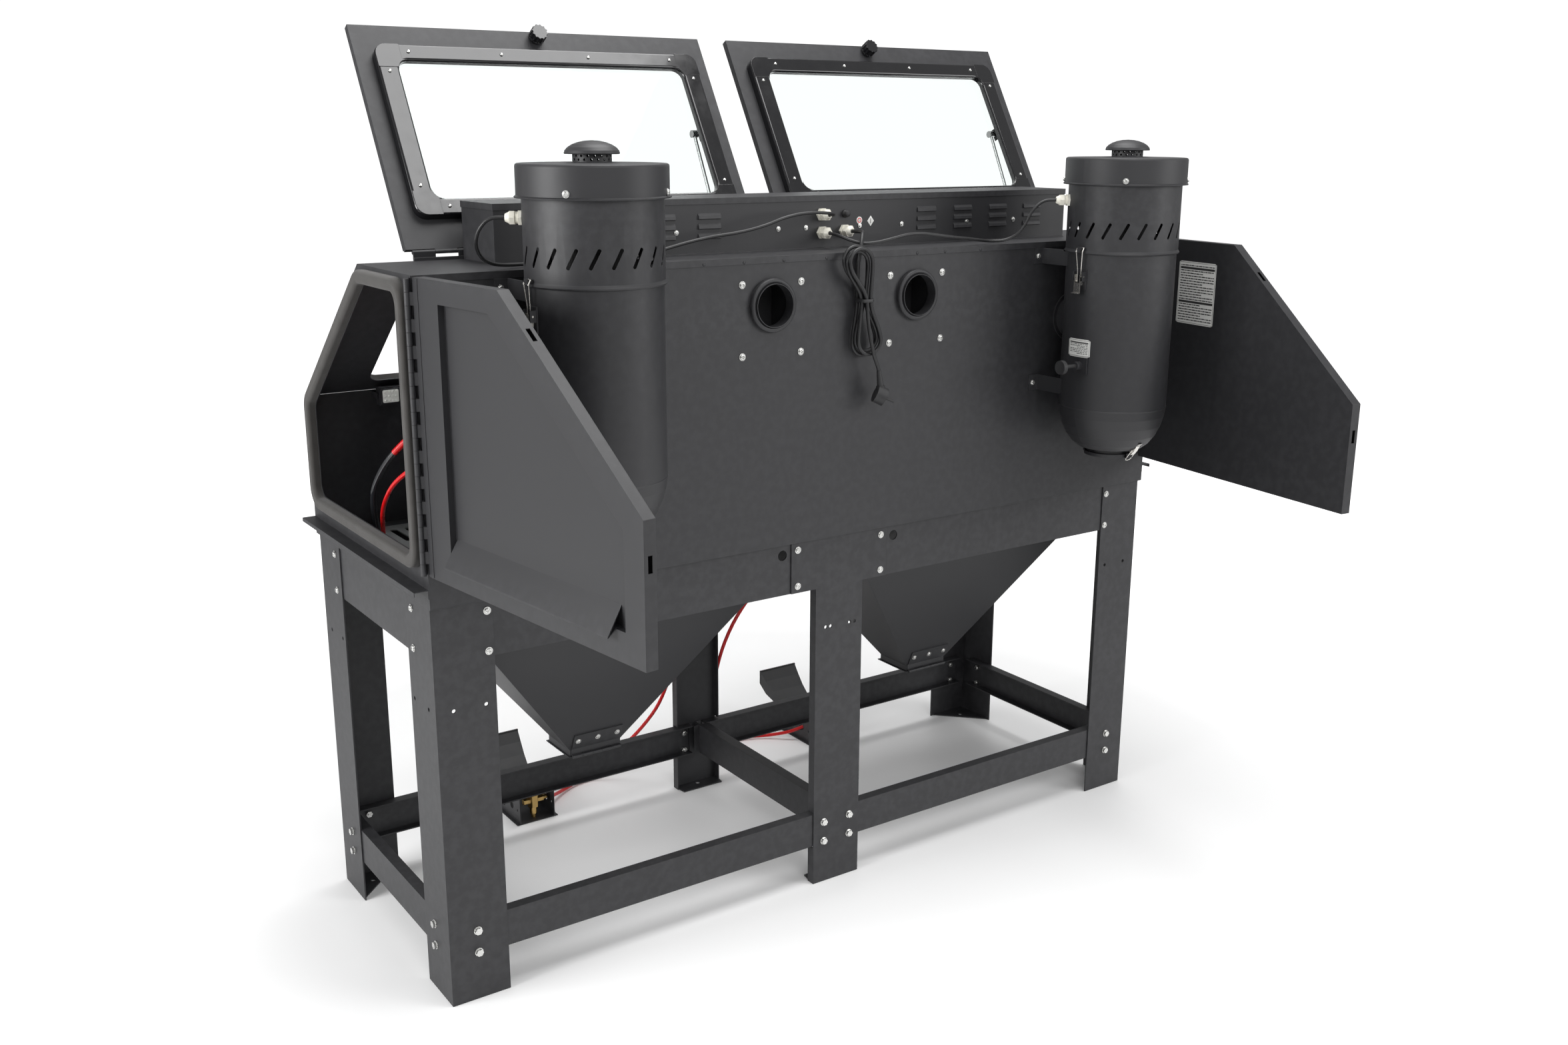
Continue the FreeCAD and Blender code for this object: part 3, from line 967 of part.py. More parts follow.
# ---- rear ports, electrical box, glands ---------------------------------------------------
def make_rear_fittings():
    ports = []
    for side in (-1, 1):
        centre = V(side * PORT_X, REAR, PORT_Z)
        sleeve = tube(centre - Y * 12, centre + Y * 14, PORT_R + 1.4, PORT_R)
        lip = Part.makeTorus(PORT_R + 6, 5.5, centre + Y * 5.5, Y)
        web = tube(centre, centre + Y * 2, PORT_R + 11, PORT_R + 1)
        trimmed = fuse([sleeve, lip, web]).cut(bar(centre - Y * 14, centre + Y * 20, PORT_R))
        trimmed = trimmed.cut(block(centre.x - 60, centre.x + 60, REAR - 3, REAR, PORT_Z - 60, PORT_Z + 60)
                              .cut(bar(centre - Y * 5, centre, PORT_R + 1.5)))
        ports.append(trimmed)
    x0, x1, z0, z1 = PORT_X - 52, PORT_X + 52, PORT_Z - 112, PORT_Z + 62
    hood = block(x0, x1, 236, REAR - SHEET, z0, z1).cut(
        block(x0 + 1.5, x1 - 1.5, 237.5, REAR, z0 - 1, z1 - 1.5))
    flange = block(x0 - 30, x1 + 30, REAR - SHEET - 1.5, REAR - SHEET, z0, z1)
    flange = flange.cut(block(x0 + 1, x1 - 1, REAR - 9, REAR, z0 - 1, z1 - 1))
    save("rear_ports", ports + both_sides([fuse([hood, flange])]))

    x0, x1 = BOX_X
    y0, y1 = BOX_Y
    z0, z1 = TOP_Z, TOP_Z + BOX_HEIGHT
    tray = block(x0, x1, y0, y1, z0, z1 - 1.5).cut(block(x0 + 1.5, x1 - 1.5, y0 + 1.5, y1 - 1.5, z0 + 1.5, z1))
    louvres, slits = [], []
    starts = [254.0 + 104.5 * i for i in range(-1, 4)] + [-302.5 - 104.5 * i for i in range(4)]
    for centre in starts:
        if abs(centre - 149.5) < 1:
            continue
        for z in (1470, 1451, 1432):
            louvres.append(slab([V(centre - 26, y1, z - 6), V(centre - 26, y1 + 4, z - 5),
                                 V(centre - 26, y1 + 3, z + 1), V(centre - 26, y1, z + 6)], X * 52))
            slits.append(block(centre - 23, centre + 23, y1 - 3, y1 + 3, z - 5.2, z - 2.2))
            slits.append(slab([V(centre - 25, y1 - 3, z - 7), V(centre - 25, y1 + 3, z - 4.2),
                               V(centre - 25, y1 + 2, z - 0.5), V(centre - 25, y1 - 3, z + 1)], X * 50))
    tray = fuse([tray] + louvres).cut(Part.makeCompound(slits))
    cover = block(x0 - 1.5, x1 + 1.5, y0 - 1.5, y1 + 1.5, z1 - 1.5, z1)
    skirt = block(x0 - 1.5, x1 + 1.5, y0 - 1.5, y1 + 1.5, z1 - 12, z1)
    skirt = skirt.cut(block(x0 - 0.01, x1 + 0.01, y0 - 0.01, y1 + 0.01, z1 - 13, z1 + 1))
    feet = block(x0 + 10, x1 - 10, y1, y1 + 12, z0, z0 + 1.5)
    axle = V(611, y0 + 1, 1450)
    switch_hole = block(596, 626, y0 - 3, y0 + 3, 1437, 1463)
    bezel = block(593, 629, y0 - 2, y0, 1434, 1466)
    cheeks = [block(low, low + 2.5, y0 - 1, y0 + 6, 1442, 1458) for low in (597, 622.5)]
    bezel = fuse([bezel] + cheeks).cut(block(599.5, 622.5, y0 - 5, y0 + 9, 1438.5, 1461.5))
    bezel = bezel.cut(bar(axle - X * 20, axle + X * 20, 3 + RUNNING_CLEARANCE))
    save("electrical_box", [fuse([tray, feet]).cut(switch_hole), fuse([cover, skirt]), bezel])

    supply = fuse([block(150, 330, 90, 150, z0 + 1.5, z0 + 44), block(345, 372, 90, 150, z0 + 1.5, z0 + 14),
                   block(328, 346, 112, 118, z0 + 2, z0 + 6)])
    save("power_supply", supply)
    rocker = fuse([block(601, 621, y0 - 3.5, y0 + 3, 1441, 1459), bar(axle - X * 12.4, axle + X * 12.4, 3)])
    save("switch_rocker", turned(rocker, axle, X, -8))

    glands = [gland(V(x, BOX_Y[1], z), Y) for x, z in ((-20, 1466), (-21, 1429), (-79, 1431))]
    for side in (-1, 1):
        out = V(math.cos(math.radians(-33)), math.sin(math.radians(-33)), 0)
        glands.append(gland(can_point(side, HEAD_R, -33, 1491), out))
    save("cable_glands", glands)


def gland(seat, axis):
    """Plastic cable gland: hexagon base, domed nut and a clear way for the cable."""
    parts = [hexagon(seat, axis, 24, 6), bar(seat + axis * 6, seat + axis * 12, 10),
             hexagon(seat + axis * 12, axis, 22, 9)]
    nose = Part.makeCone(10.5, 6.5, 8, seat + axis * 21, axis)
    return fuse(parts + [nose]).cut(bar(seat + axis * 18, seat + axis * 40, 4.3))


# ---- inside the cabinet -------------------------------------------------------------------
GUN_SEAT = V(700, 262, 1075)


def glove(x):
    """Limp rubber gauntlet: a hollow sleeve open at its port, closed at the fingers."""
    stations = [(-7, 952, GLOVE_PORT_R - 1.2, 0), (60, 946, 78, -0.15), (150, 915, 62, -0.38),
                (240, 878, 52, -0.35), (300, 862, 40, -0.2)]
    lofts = []
    for wall, last in ((0.0, 0), (1.6, -8)):
        wires = []
        for y, z, r, lean in stations:
            end = last if y == 300 else 0
            start = -1 if y == -7 and wall else 0
            centre = V(x, FRONT + y + end + start, z)
            wires.append(Part.Wire(Part.makeCircle(r - wall, centre, V(0, 1, lean))))
        lofts.append(Part.makeLoft(wires, True, False))
    return lofts[0].cut(lofts[1])


def make_inside():
    rings, gloves = [], []
    for half in GLOVE_PORT_X:
        centre = V(half, FRONT, GLOVE_PORT_Z)
        ring = fuse([tube(centre - Y * 14, centre - Y * 8, GLOVE_PORT_R + 14, GLOVE_PORT_R - 3),
                     tube(centre - Y * 14, centre, GLOVE_PORT_R + 6, GLOVE_PORT_R),
                     tube(centre - Y * 3, centre, GLOVE_PORT_R + 14, GLOVE_PORT_R)])
        rings.append(ring)
        gloves.append(glove(half))
    save("glove_rings", both_sides(rings))
    save("gloves", both_sides(gloves))

    lamp_x = 752
    lamp = fuse([block(lamp_x - 23, lamp_x + 23, -301, -279, 1070, 1108),
                 block(lamp_x - 20, lamp_x + 20, -279, -277, 1073, 1105)])
    stirrup = fuse([block(lamp_x - 27, lamp_x - 24.5, -319, -288, 1084, 1096),
                    block(lamp_x + 24.5, lamp_x + 27, -319, -288, 1084, 1096),
                    block(lamp_x - 27, lamp_x + 27, -319, -316.5, 1084, 1096),
                    bar(V(lamp_x - 27, -292, 1090), V(lamp_x + 27, -292, 1090), 2)])
    save("floodlights", both_sides([fuse([lamp, stirrup])]))

    seat = GUN_SEAT
    body = fuse([bar(seat, seat + V(-38, -20, -52), 15), bar(seat + V(-30, -16, -41), seat + V(-52, -27, -71), 11),
                 bar(seat + V(-10, -5, -14), seat + V(-14, -38, 20), 11),
                 bar(seat + V(12, 6, 16), seat, 9)])
    hook = fuse([block(seat.x - 12, seat.x + 12, 311, 313, seat.z - 30, seat.z + 10),
                 block(seat.x - 12, seat.x + 12, 270, 313, seat.z - 32, seat.z - 30)])
    save("spray_guns", both_sides([fuse([body, hook])]))

    air_inside = [(850, -95, 811), (852, -92, 850), (862, -60, 905), (858, -10, 962), (838, 50, 1005),
                  (806, 108, 1040), (770, 160, 1072), (742, 205, 1092), (722, 238, 1099), (712.5, 268.5, 1091.5)]
    media_inside = [(838, -152, 811), (848, -150, 862), (852, -140, 925), (832, -112, 985),
                    (796, -70, 1040), (758, -15, 1078), (724, 48, 1100), (700, 112, 1108),
                    (690, 172, 1104), (686.5, 222, 1096)]
    pedal_hose = [(398, -368, 41.2), (362, -392, 22), (318, -430, 9), (268, -458, 7), (214, -462, 22),
                  (160, -440, 66), (112, -400, 130), (82, -352, 205), (71, -312, 285),
                  (73, -280, 365), (89, -250, 440), (118, -222, 506), (152, -190, 560), (186, -160, 606)]
    hoses = []
    for name, route, diameter in (("air hose", air_inside, AIR_HOSE_D), ("media hose", media_inside, MEDIA_HOSE_D),
                                  ("pedal hose", pedal_hose, AIR_HOSE_D)):
        hoses += [cord(name + " right", route, diameter), cord(name + " left", flipped(route), diameter)]
    save("hoses", hoses)


# ---- foot pedals --------------------------------------------------------------------------
PEDAL_PIVOT_Y, PEDAL_PIVOT_Z = -452.0, 44.0


def make_pedal(name, side):
    x0, x1 = side * PEDAL_X - PEDAL_HALF_WIDTH, side * PEDAL_X + PEDAL_HALF_WIDTH
    rear, front = PEDAL_REAR, -520.0
    floor = block(x0 - 8, x1 + 8, front, rear, 0, 2)
    walls = [slab(yz([(rear, 2), (rear, 78), (-400, 78), (-480, 52), (front, 18), (front, 2)], x), X * 2)
             for x in (x0, x1 - 2)]
    pivot = bar(V(x0 + 2, PEDAL_PIVOT_Y, PEDAL_PIVOT_Z), V(x1 - 2, PEDAL_PIVOT_Y, PEDAL_PIVOT_Z), 4)
    roof = block(x0, x1, -400, rear - 18, 76, 78)
    base = fuse([floor, pivot, roof] + walls)
    holes = [bar(V(x0 - 5, y, z), V(x1 + 5, y, z), r) for y, z, r in ((-342, 34, 3), (-420, 20, 3),
                                                                   (-374, 36.4, 9))]
    base = base.cut(Part.makeCompound(holes))
    centre = side * PEDAL_X
    valve = fuse([hexagon(V(centre, -352, 30), Z, 24, 30), bar(V(centre, -352, 12), V(centre, -352, 66), 9),
                  hexagon(V(centre - 26, -352, 46), X, 14, 52), bar(V(centre, -352, 66), V(centre, -352, 75.5), 3),
                  hexagon(V(centre, -378, 40), Y, 14, 20), bar(V(centre, -352, 2), V(centre, -352, 14), 6)])
    elbow = fuse([bar(V(centre - side * 26, -352, 46), V(centre - side * 34, -352, 46), 5),
                  bar(V(centre - side * 34, -352, 46), V(centre - side * 32, -365.3, 43.3), 5),
                  Part.makeSphere(5, V(centre - side * 34, -352, 46))])
    push_in = bar(V(centre - side * 31, -364.7, 43.7), V(centre - side * 42, -372, 38), 6.5)
    hose_way = bar(V(side * 398.6, -367.6, 41.5), V(side * 380, -380, 31.6), AIR_HOSE_D / 2 + 0.2)
    valve_block = fuse([valve, elbow, push_in]).cut(hose_way)
    keep = block(min(x0 + 2.2, x1), max(x0, x1 - 2.2), -420, rear, 2, 75.8)
    valve_block = valve_block.common(keep)

    top_y, top_z = -562.0, 146.0
    thick = 4.0
    half_top = 60.0
    rows = [(-562, 146, 60, 108), (-536, 121, 56.5, 84), (-506, 99, 51, 70), (-476, 84, 45.5, 66),
            (-456, 78.5, 42.5, 62), (-424, 70, 41, 42)]
    shells = []
    for (ya, za, wa, ba), (yb, zb, wb, bb) in zip(rows, rows[1:]):
        upper = [V(centre - wa, ya, za), V(centre + wa, ya, za), V(centre + wb, yb, zb), V(centre - wb, yb, zb)]
        loop_a = Part.makePolygon([upper[0], upper[1], upper[1] - Z * thick, upper[0] - Z * thick, upper[0]])
        loop_b = Part.makePolygon([upper[3], upper[2], upper[2] - Z * thick, upper[3] - Z * thick, upper[3]])
        shells.append(Part.makeLoft([loop_a, loop_b], True, True))
        for sign in (-1, 1):
            loops = []
            for y, z, w, b in ((ya, za, wa, ba), (yb, zb, wb, bb)):
                out, inner = V(centre + sign * w, y, z), V(centre + sign * (w - 4), y, z)
                loops.append(Part.makePolygon([out, inner, inner + Z * (b - z), out + Z * (b - z), out]))
            shells.append(Part.makeLoft(loops, True, True))
    nose = block(centre - half_top, centre + half_top, top_y, top_y + 4, top_z - 38, top_z)
    boss = [bar(V(centre + sign * 30 - 6, PEDAL_PIVOT_Y, PEDAL_PIVOT_Z), V(centre + sign * 30 + 6, PEDAL_PIVOT_Y,
                                                                     PEDAL_PIVOT_Z), 8) for sign in (-1, 1)]
    ribs = [block(centre + sign * 30 - 3, centre + sign * 30 + 3, PEDAL_PIVOT_Y - 7, PEDAL_PIVOT_Y + 7,
                  PEDAL_PIVOT_Z, 74) for sign in (-1, 1)]
    treadle = fuse(shells + [nose] + boss + ribs)
    treadle = treadle.cut(bar(V(x0, PEDAL_PIVOT_Y, PEDAL_PIVOT_Z), V(x1, PEDAL_PIVOT_Y, PEDAL_PIVOT_Z),
                              4 + RUNNING_CLEARANCE))
    save("treadle_" + name, treadle)
    return base, valve_block


def hopper_fitting():
    """Push-in fitting on the hopper's inner slope, in line with the end of its hose."""
    end = V(186, -160, 606)
    along = V(34, 30, 46).normalize()
    fitting = fuse([bar(end - along * 9, end + along * 16, 7), hexagon(end + along * 1, along, 17, 7)])
    return fitting.cut(bar(end - along * 12, end + along * 0.4, AIR_HOSE_D / 2 + 0.2))


# ---- cables -------------------------------------------------------------------------------
def make_cables():
    right = [(-20, 219, 1466), (-19, 247, 1467), (4, 266, 1472), (46, 268, 1475), (84, 266, 1473),
             (122, 265, 1466), (158, 267, 1455), (196, 265, 1446), (240, 267, 1440), (284, 265, 1436),
             (328, 267, 1430), (372, 265, 1421), (414, 267, 1412), (456, 265, 1405), (502, 267, 1402.5),
             (550, 265, 1402), (600, 267, 1402.5), (648, 266, 1402), (694, 276, 1402.5), (732, 294, 1404),
             (764, 310, 1408), (790, 321, 1419), (806, 333, 1442), (806, 346, 1469), (791, 360, 1491),
             (761, 379.6, 1491)]
    left = [(-21, 219, 1429), (-20, 252, 1428), (-25, 284, 1420), (-42, 309, 1412), (-70, 322, 1414),
            (-106, 328, 1421), (-146, 326, 1428), (-188, 324, 1429), (-232, 325, 1423), (-278, 321, 1417),
            (-324, 314, 1412), (-366, 303, 1407), (-400, 298, 1403), (-430, 314, 1404), (-452, 330, 1417),
            (-463, 343, 1441), (-470, 352, 1468), (-495, 360.3, 1491), (-525, 379.6, 1491)]
    save("fan_cables", [cord("fan cable right", right, FAN_CABLE_D), cord("fan cable left", left, FAN_CABLE_D)])

    lead_in = [(-79, 219, 1431), (-78, 252, 1432), (-67, 279, 1434), (-50, 300, 1432), (-37, 315, 1420),
               (-28, 322.7, 1399)]
    lead_out = [(-45, 352, 1190), (-50, 352, 1178), (-55, 352, 1167), (-59, 352, 1156)]
    save("mains_cord", [cord("mains lead in", lead_in, MAINS_D), cord("mains lead out", lead_out, MAINS_D)])
    outline = [V(x, HANK_Y[0], z) for x, z in (
        (-44, 1372), (-36, 1400), (-12, 1412), (14, 1400), (24, 1372), (-8, 1301), (-8, 1222), (-24, 1186),
        (-50, 1181), (-68, 1213), (-46, 1301))]
    hank = Part.Face(Part.makePolygon(outline + outline[:1])).extrude(Y * (HANK_Y[1] - HANK_Y[0]))
    save("cord_hank", hank)

    start = V(-59, 352, 1156)
    along = V(-0.12, 0.03, -0.99).normalize()
    relief = Part.makeCone(4.6, 7.2, 34, start, along)
    body_top = start + along * 34
    centre = body_top + along * 19
    pin_axis = V(-0.8, 0.42, -0.42).normalize()
    body = bar(centre - pin_axis * 14, centre + pin_axis * 8, 19)
    neck = bar(body_top - along * 2, body_top + along * 14, 9)
    face = centre + pin_axis * 8
    side = pin_axis.cross(along).normalize()
    pins = [bar(face - pin_axis * 1 + side * s, face + pin_axis * 19 + side * s, 2.4) for s in (-9.5, 9.5)]
    save("mains_plug", fuse([relief, body, neck] + pins))


os.makedirs("parts", exist_ok=True)
make_stand()
make_body()
make_seals()
make_work_grates()
make_hoppers()
make_doors()
for lid_name, lid_side in (("right", 1), ("left", -1)):
    make_lid(lid_name, lid_side)
    make_strut(lid_name, lid_side)
make_canisters()
make_rear_fittings()
make_inside()
pedals = [make_pedal("right", 1), make_pedal("left", -1)]
save("pedal_bases", [base for base, valve in pedals])
save("pedal_valves", [valve for base, valve in pedals] + both_sides([hopper_fitting()]))
make_cables()
make_fasteners()
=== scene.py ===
import math

import bmesh
import bpy
from mathutils import Matrix, Vector, noise


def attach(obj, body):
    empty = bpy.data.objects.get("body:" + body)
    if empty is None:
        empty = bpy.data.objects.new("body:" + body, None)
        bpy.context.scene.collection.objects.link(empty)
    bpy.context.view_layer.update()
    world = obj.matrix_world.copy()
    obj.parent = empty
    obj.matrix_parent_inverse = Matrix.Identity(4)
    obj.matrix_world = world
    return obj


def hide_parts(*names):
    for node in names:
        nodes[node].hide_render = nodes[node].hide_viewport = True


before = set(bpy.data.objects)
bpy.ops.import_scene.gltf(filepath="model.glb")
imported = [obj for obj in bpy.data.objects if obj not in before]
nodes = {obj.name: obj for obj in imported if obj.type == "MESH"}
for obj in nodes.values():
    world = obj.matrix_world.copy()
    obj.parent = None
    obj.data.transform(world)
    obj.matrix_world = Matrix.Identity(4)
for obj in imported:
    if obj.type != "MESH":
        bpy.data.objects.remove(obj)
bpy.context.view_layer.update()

# ---- camera and light ---------------------------------------------------------------------
CAMERA_PLACE = Vector((1.8273, 2.7326, 1.6391))
CAMERA_TURN, CAMERA_DROP, CAMERA_ROLL = 145.276, 14.926, 0.256
LENS = 34.0
AMBIENT, BACKDROP = 0.42, 1.06             # world strength as light and as the camera sees it
FLOOR_REACH = 30.0
FLOOR_GLOW, GLOW_FROM, GLOW_FULL = 0.7, 1.4, 3.4


def make_camera():
    a, e, r = (math.radians(v) for v in (CAMERA_TURN, CAMERA_DROP, CAMERA_ROLL))
    back = Vector((math.sin(a) * math.cos(e), -math.cos(a) * math.cos(e), math.sin(e)))
    level = Vector((math.cos(a), math.sin(a), 0))
    up = back.cross(level)
    right = level * math.cos(r) + up * math.sin(r)
    up = up * math.cos(r) - level * math.sin(r)
    data = bpy.data.cameras.new("camera")
    data.lens, data.sensor_width = LENS, 36.0
    data.clip_start, data.clip_end = 0.05, 60.0
    camera = bpy.data.objects.new("camera", data)
    bpy.context.scene.collection.objects.link(camera)
    camera.matrix_world = Matrix((
        (right.x, up.x, back.x, CAMERA_PLACE.x),
        (right.y, up.y, back.y, CAMERA_PLACE.y),
        (right.z, up.z, back.z, CAMERA_PLACE.z),
        (0, 0, 0, 1)))
    bpy.context.scene.camera = camera


def area_light(name, place, target, size, power, tint=(1, 1, 1)):
    data = bpy.data.lights.new(name, "AREA")
    data.shape, data.size, data.size_y = "RECTANGLE", size[0], size[1]
    data.energy, data.color = power, tint
    lamp = bpy.data.objects.new(name, data)
    bpy.context.scene.collection.objects.link(lamp)
    lamp.location = place
    lamp.rotation_mode = "QUATERNION"
    lamp.rotation_quaternion = (Vector(target) - Vector(place)).to_track_quat("-Z", "Y")


def seen_directly(tree):
    """1 for rays from the camera, straight or through the window glass, else 0."""
    rays = tree.nodes.new("ShaderNodeLightPath")
    either = tree.nodes.new("ShaderNodeMath")
    either.operation = "MAXIMUM"
    tree.links.new(rays.outputs["Is Camera Ray"], either.inputs[0])
    tree.links.new(rays.outputs["Is Transmission Ray"], either.inputs[1])
    return either.outputs[0]


def make_studio():
    bpy.context.scene.view_settings.view_transform = "Standard"
    world = bpy.data.worlds.new("studio")
    bpy.context.scene.world = world
    world.use_nodes = True
    tree = world.node_tree
    background = tree.nodes["Background"]
    background.inputs["Color"].default_value = (1.0, 1.0, 1.0, 1)
    seen = tree.nodes.new("ShaderNodeMapRange")
    seen.inputs["To Min"].default_value, seen.inputs["To Max"].default_value = AMBIENT, BACKDROP
    tree.links.new(seen_directly(tree), seen.inputs["Value"])
    tree.links.new(seen.outputs["Result"], background.inputs["Strength"])
    area_light("key", (1.2, 4.6, 3.6), (0, 0.2, 0.9), (3.0, 2.0), 65)
    area_light("right", (-3.2, 3.8, 2.4), (0, 0.2, 1.0), (2.4, 2.0), 82)
    area_light("side", (3.8, 0.1, 1.9), (0.9, 0.3, 0.9), (1.8, 1.8), 115)
    area_light("over", (-0.5, 0.3, 4.6), (0, 0.2, 1.0), (3.5, 2.5), 160)
    mesh = bpy.data.meshes.new("studio_floor")
    corners = [(FLOOR_REACH * x, FLOOR_REACH * y, 0) for x, y in ((-1, -1), (1, -1), (1, 1), (-1, 1))]
    mesh.from_pydata(corners, [], [(0, 1, 2, 3)])
    floor = bpy.data.objects.new("studio_floor", mesh)
    bpy.context.scene.collection.objects.link(floor)
    floor.location.z = -0.0005
    floor.data.materials.append(floor_material())


# ---- materials ----------------------------------------------------------------------------
class Shader:
    """A material under construction: node tree helpers around one Principled shader."""

    def __init__(self, name, colour, roughness, metallic=0.0, **sockets):
        self.material = bpy.data.materials.new(name)
        self.material.use_nodes = True
        self.material.diffuse_color = (*colour, 1)
        self.tree = self.material.node_tree
        self.bsdf = self.tree.nodes["Principled BSDF"]
        self.set("Base Color", (*colour, 1))
        self.set("Roughness", roughness)
        self.set("Metallic", metallic)
        for socket, value in sockets.items():
            self.set(socket.replace("_", " "), value)
        self.coords = self.tree.nodes.new("ShaderNodeTexCoord").outputs["Object"]
        self.normal = None

    def set(self, socket, value):
        self.bsdf.inputs[socket].default_value = value

    def link(self, output, socket):
        self.tree.links.new(output, self.bsdf.inputs[socket])

    def add(self, kind, inputs=None, **settings):
        node = self.tree.nodes.new(kind)
        for key, value in settings.items():
            setattr(node, key, value)
        for key, value in (inputs or {}).items():
            if hasattr(value, "is_linked"):
                self.tree.links.new(value, node.inputs[key])
            else:
                node.inputs[key].default_value = value
        return node

    def stretched(self, scale):
        return self.add("ShaderNodeMapping", {"Vector": self.coords, "Scale": scale}).outputs["Vector"]

    def noise(self, scale, detail=3.0, roughness=0.5, vector=None):
        inputs = {"Vector": vector or self.coords, "Scale": scale, "Detail": detail, "Roughness": roughness}
        return self.add("ShaderNodeTexNoise", inputs).outputs["Fac"]

    def cells(self, scale, feature="F1", vector=None):
        return self.add("ShaderNodeTexVoronoi", {"Vector": vector or self.coords, "Scale": scale},
                        feature=feature).outputs["Distance"]

    def span(self, value, low, high, out_low, out_high):
        return self.add("ShaderNodeMapRange", {"Value": value, "From Min": low, "From Max": high,
                                               "To Min": out_low, "To Max": out_high}).outputs["Result"]

    def blend(self, factor, first, second):
        node = self.add("ShaderNodeMix", data_type="RGBA")
        for socket, value in ((node.inputs[0], factor), (node.inputs[6], first), (node.inputs[7], second)):
            if hasattr(value, "is_linked"):
                self.tree.links.new(value, socket)
            else:
                socket.default_value = value if isinstance(value, float) else (*value, 1)
        return node.outputs[2]

    def math(self, operation, first, second):
        node = self.add("ShaderNodeMath", operation=operation)
        for socket, value in zip(node.inputs, (first, second)):
            if hasattr(value, "is_linked"):
                self.tree.links.new(value, socket)
            else:
                socket.default_value = value
        return node.outputs[0]

    def round_edges(self, radius, samples=4):
        self.normal = self.add("ShaderNodeBevel", {"Radius": radius}, samples=samples).outputs["Normal"]

    def bump(self, height, strength, distance):
        inputs = {"Height": height, "Strength": strength, "Distance": distance}
        if self.normal is not None:
            inputs["Normal"] = self.normal
        self.normal = self.add("ShaderNodeBump", inputs).outputs["Normal"]

    def done(self):
        if self.normal is not None:
            self.link(self.normal, "Normal")
        return self.material


def edge_wear_and_highlight(shader, colour, worn_and_highlit, amount):
    """Colour that turns slightly paler along convex edges, broken up by noise: wear plus a painted edge
    highlight.
    """
    pointiness = shader.add("ShaderNodeNewGeometry").outputs["Pointiness"]
    edge = shader.span(pointiness, 0.52, 0.60, 0.0, amount)
    patch = shader.span(shader.noise(60, 4), 0.4, 0.65, 0.0, 1.0)
    return shader.blend(shader.math("MULTIPLY", edge, patch), colour, worn_and_highlit)


def powder_coat(name, colour, roughness=0.5, grain=1700.0, strength=0.14):
    """Fine-textured powder coating: tight orange-peel grain, faint handling haze, soft folded edges."""
    s = Shader(name, colour, roughness, Specular_IOR_Level=0.5)
    haze = s.noise(1.1, 3, 0.5)
    paler = tuple(min(1.0, c * 1.05 + 0.0004) for c in colour)
    tone = s.blend(s.span(haze, 0.35, 0.7, 0.0, 1.0), colour, paler)
    # paler convex edges: wear plus a painted edge highlight
    s.link(edge_wear_and_highlight(s, tone, tuple(c * 1.8 + 0.008 for c in colour), 0.4), "Base Color")
    s.link(s.span(s.noise(2.2, 2), 0.3, 0.7, roughness - 0.02, roughness + 0.03), "Roughness")
    s.round_edges(0.0009)
    grain_height = s.math("ADD", s.noise(grain, 2, 0.6), s.math("MULTIPLY", s.noise(grain * 0.5, 2), 0.4))
    s.bump(grain_height, strength, 0.0003)
    return s.done()


def bright_zinc(name, colour=(0.72, 0.72, 0.70)):
    s = Shader(name, colour, 0.28, metallic=1.0)
    patch = s.cells(420)
    s.link(s.blend(s.span(patch, 0.0, 0.8, 0.0, 1.0), colour, tuple(c * 0.86 for c in colour)), "Base Color")
    s.link(s.span(s.noise(180, 3), 0.3, 0.7, 0.2, 0.36), "Roughness")
    s.round_edges(0.0004)
    s.bump(s.noise(900, 2), 0.08, 0.0002)
    return s.done()


def gloss_plastic(name, colour):
    s = Shader(name, colour, 0.14, Coat_Weight=0.3)
    s.link(s.span(s.noise(26, 5, 0.65), 0.35, 0.72, 0.09, 0.22), "Roughness")
    dust = s.span(s.noise(1600, 2), 0.68, 0.76, 0.0, 0.35)
    s.link(s.blend(dust, colour, tuple(c + 0.05 for c in colour)), "Base Color")
    s.round_edges(0.0012)
    s.bump(s.noise(45, 2), 0.04, 0.0006)
    return s.done()


def matt_plastic(name, colour, roughness=0.55, grain=1100.0):
    s = Shader(name, colour, roughness)
    s.link(s.span(s.noise(14, 3), 0.3, 0.7, roughness - 0.07, roughness + 0.05), "Roughness")
    # paler convex edges: wear plus a painted edge highlight
    s.link(edge_wear_and_highlight(s, s.blend(s.noise(5, 3), colour, tuple(c * 1.12 for c in colour)),
                     tuple(min(1, c * 1.6 + 0.01) for c in colour), 0.4), "Base Color")
    s.round_edges(0.0009)
    s.bump(s.cells(grain), 0.18, 0.0003)
    return s.done()


def sponge_rubber(name, colour, roughness=0.82):
    s = Shader(name, colour, roughness, Sheen_Weight=0.15)
    pores = s.span(s.cells(1500), 0.0, 0.55, 0.0, 1.0)
    s.link(s.blend(s.noise(22, 4), colour, tuple(c * 1.5 + 0.004 for c in colour)), "Base Color")
    s.link(s.span(s.noise(40, 3), 0.3, 0.7, roughness - 0.08, roughness + 0.06), "Roughness")
    s.bump(pores, 0.35, 0.0004)
    return s.done()


def smooth_hose(name, colour, roughness=0.26, **sockets):
    s = Shader(name, colour, roughness, **sockets)
    s.link(s.span(s.noise(35, 4), 0.3, 0.75, roughness - 0.05, roughness + 0.12), "Roughness")
    s.link(s.blend(s.noise(12, 3), colour, tuple(c * 0.8 for c in colour)), "Base Color")
    s.bump(s.noise(300, 2), 0.05, 0.0003)
    return s.done()


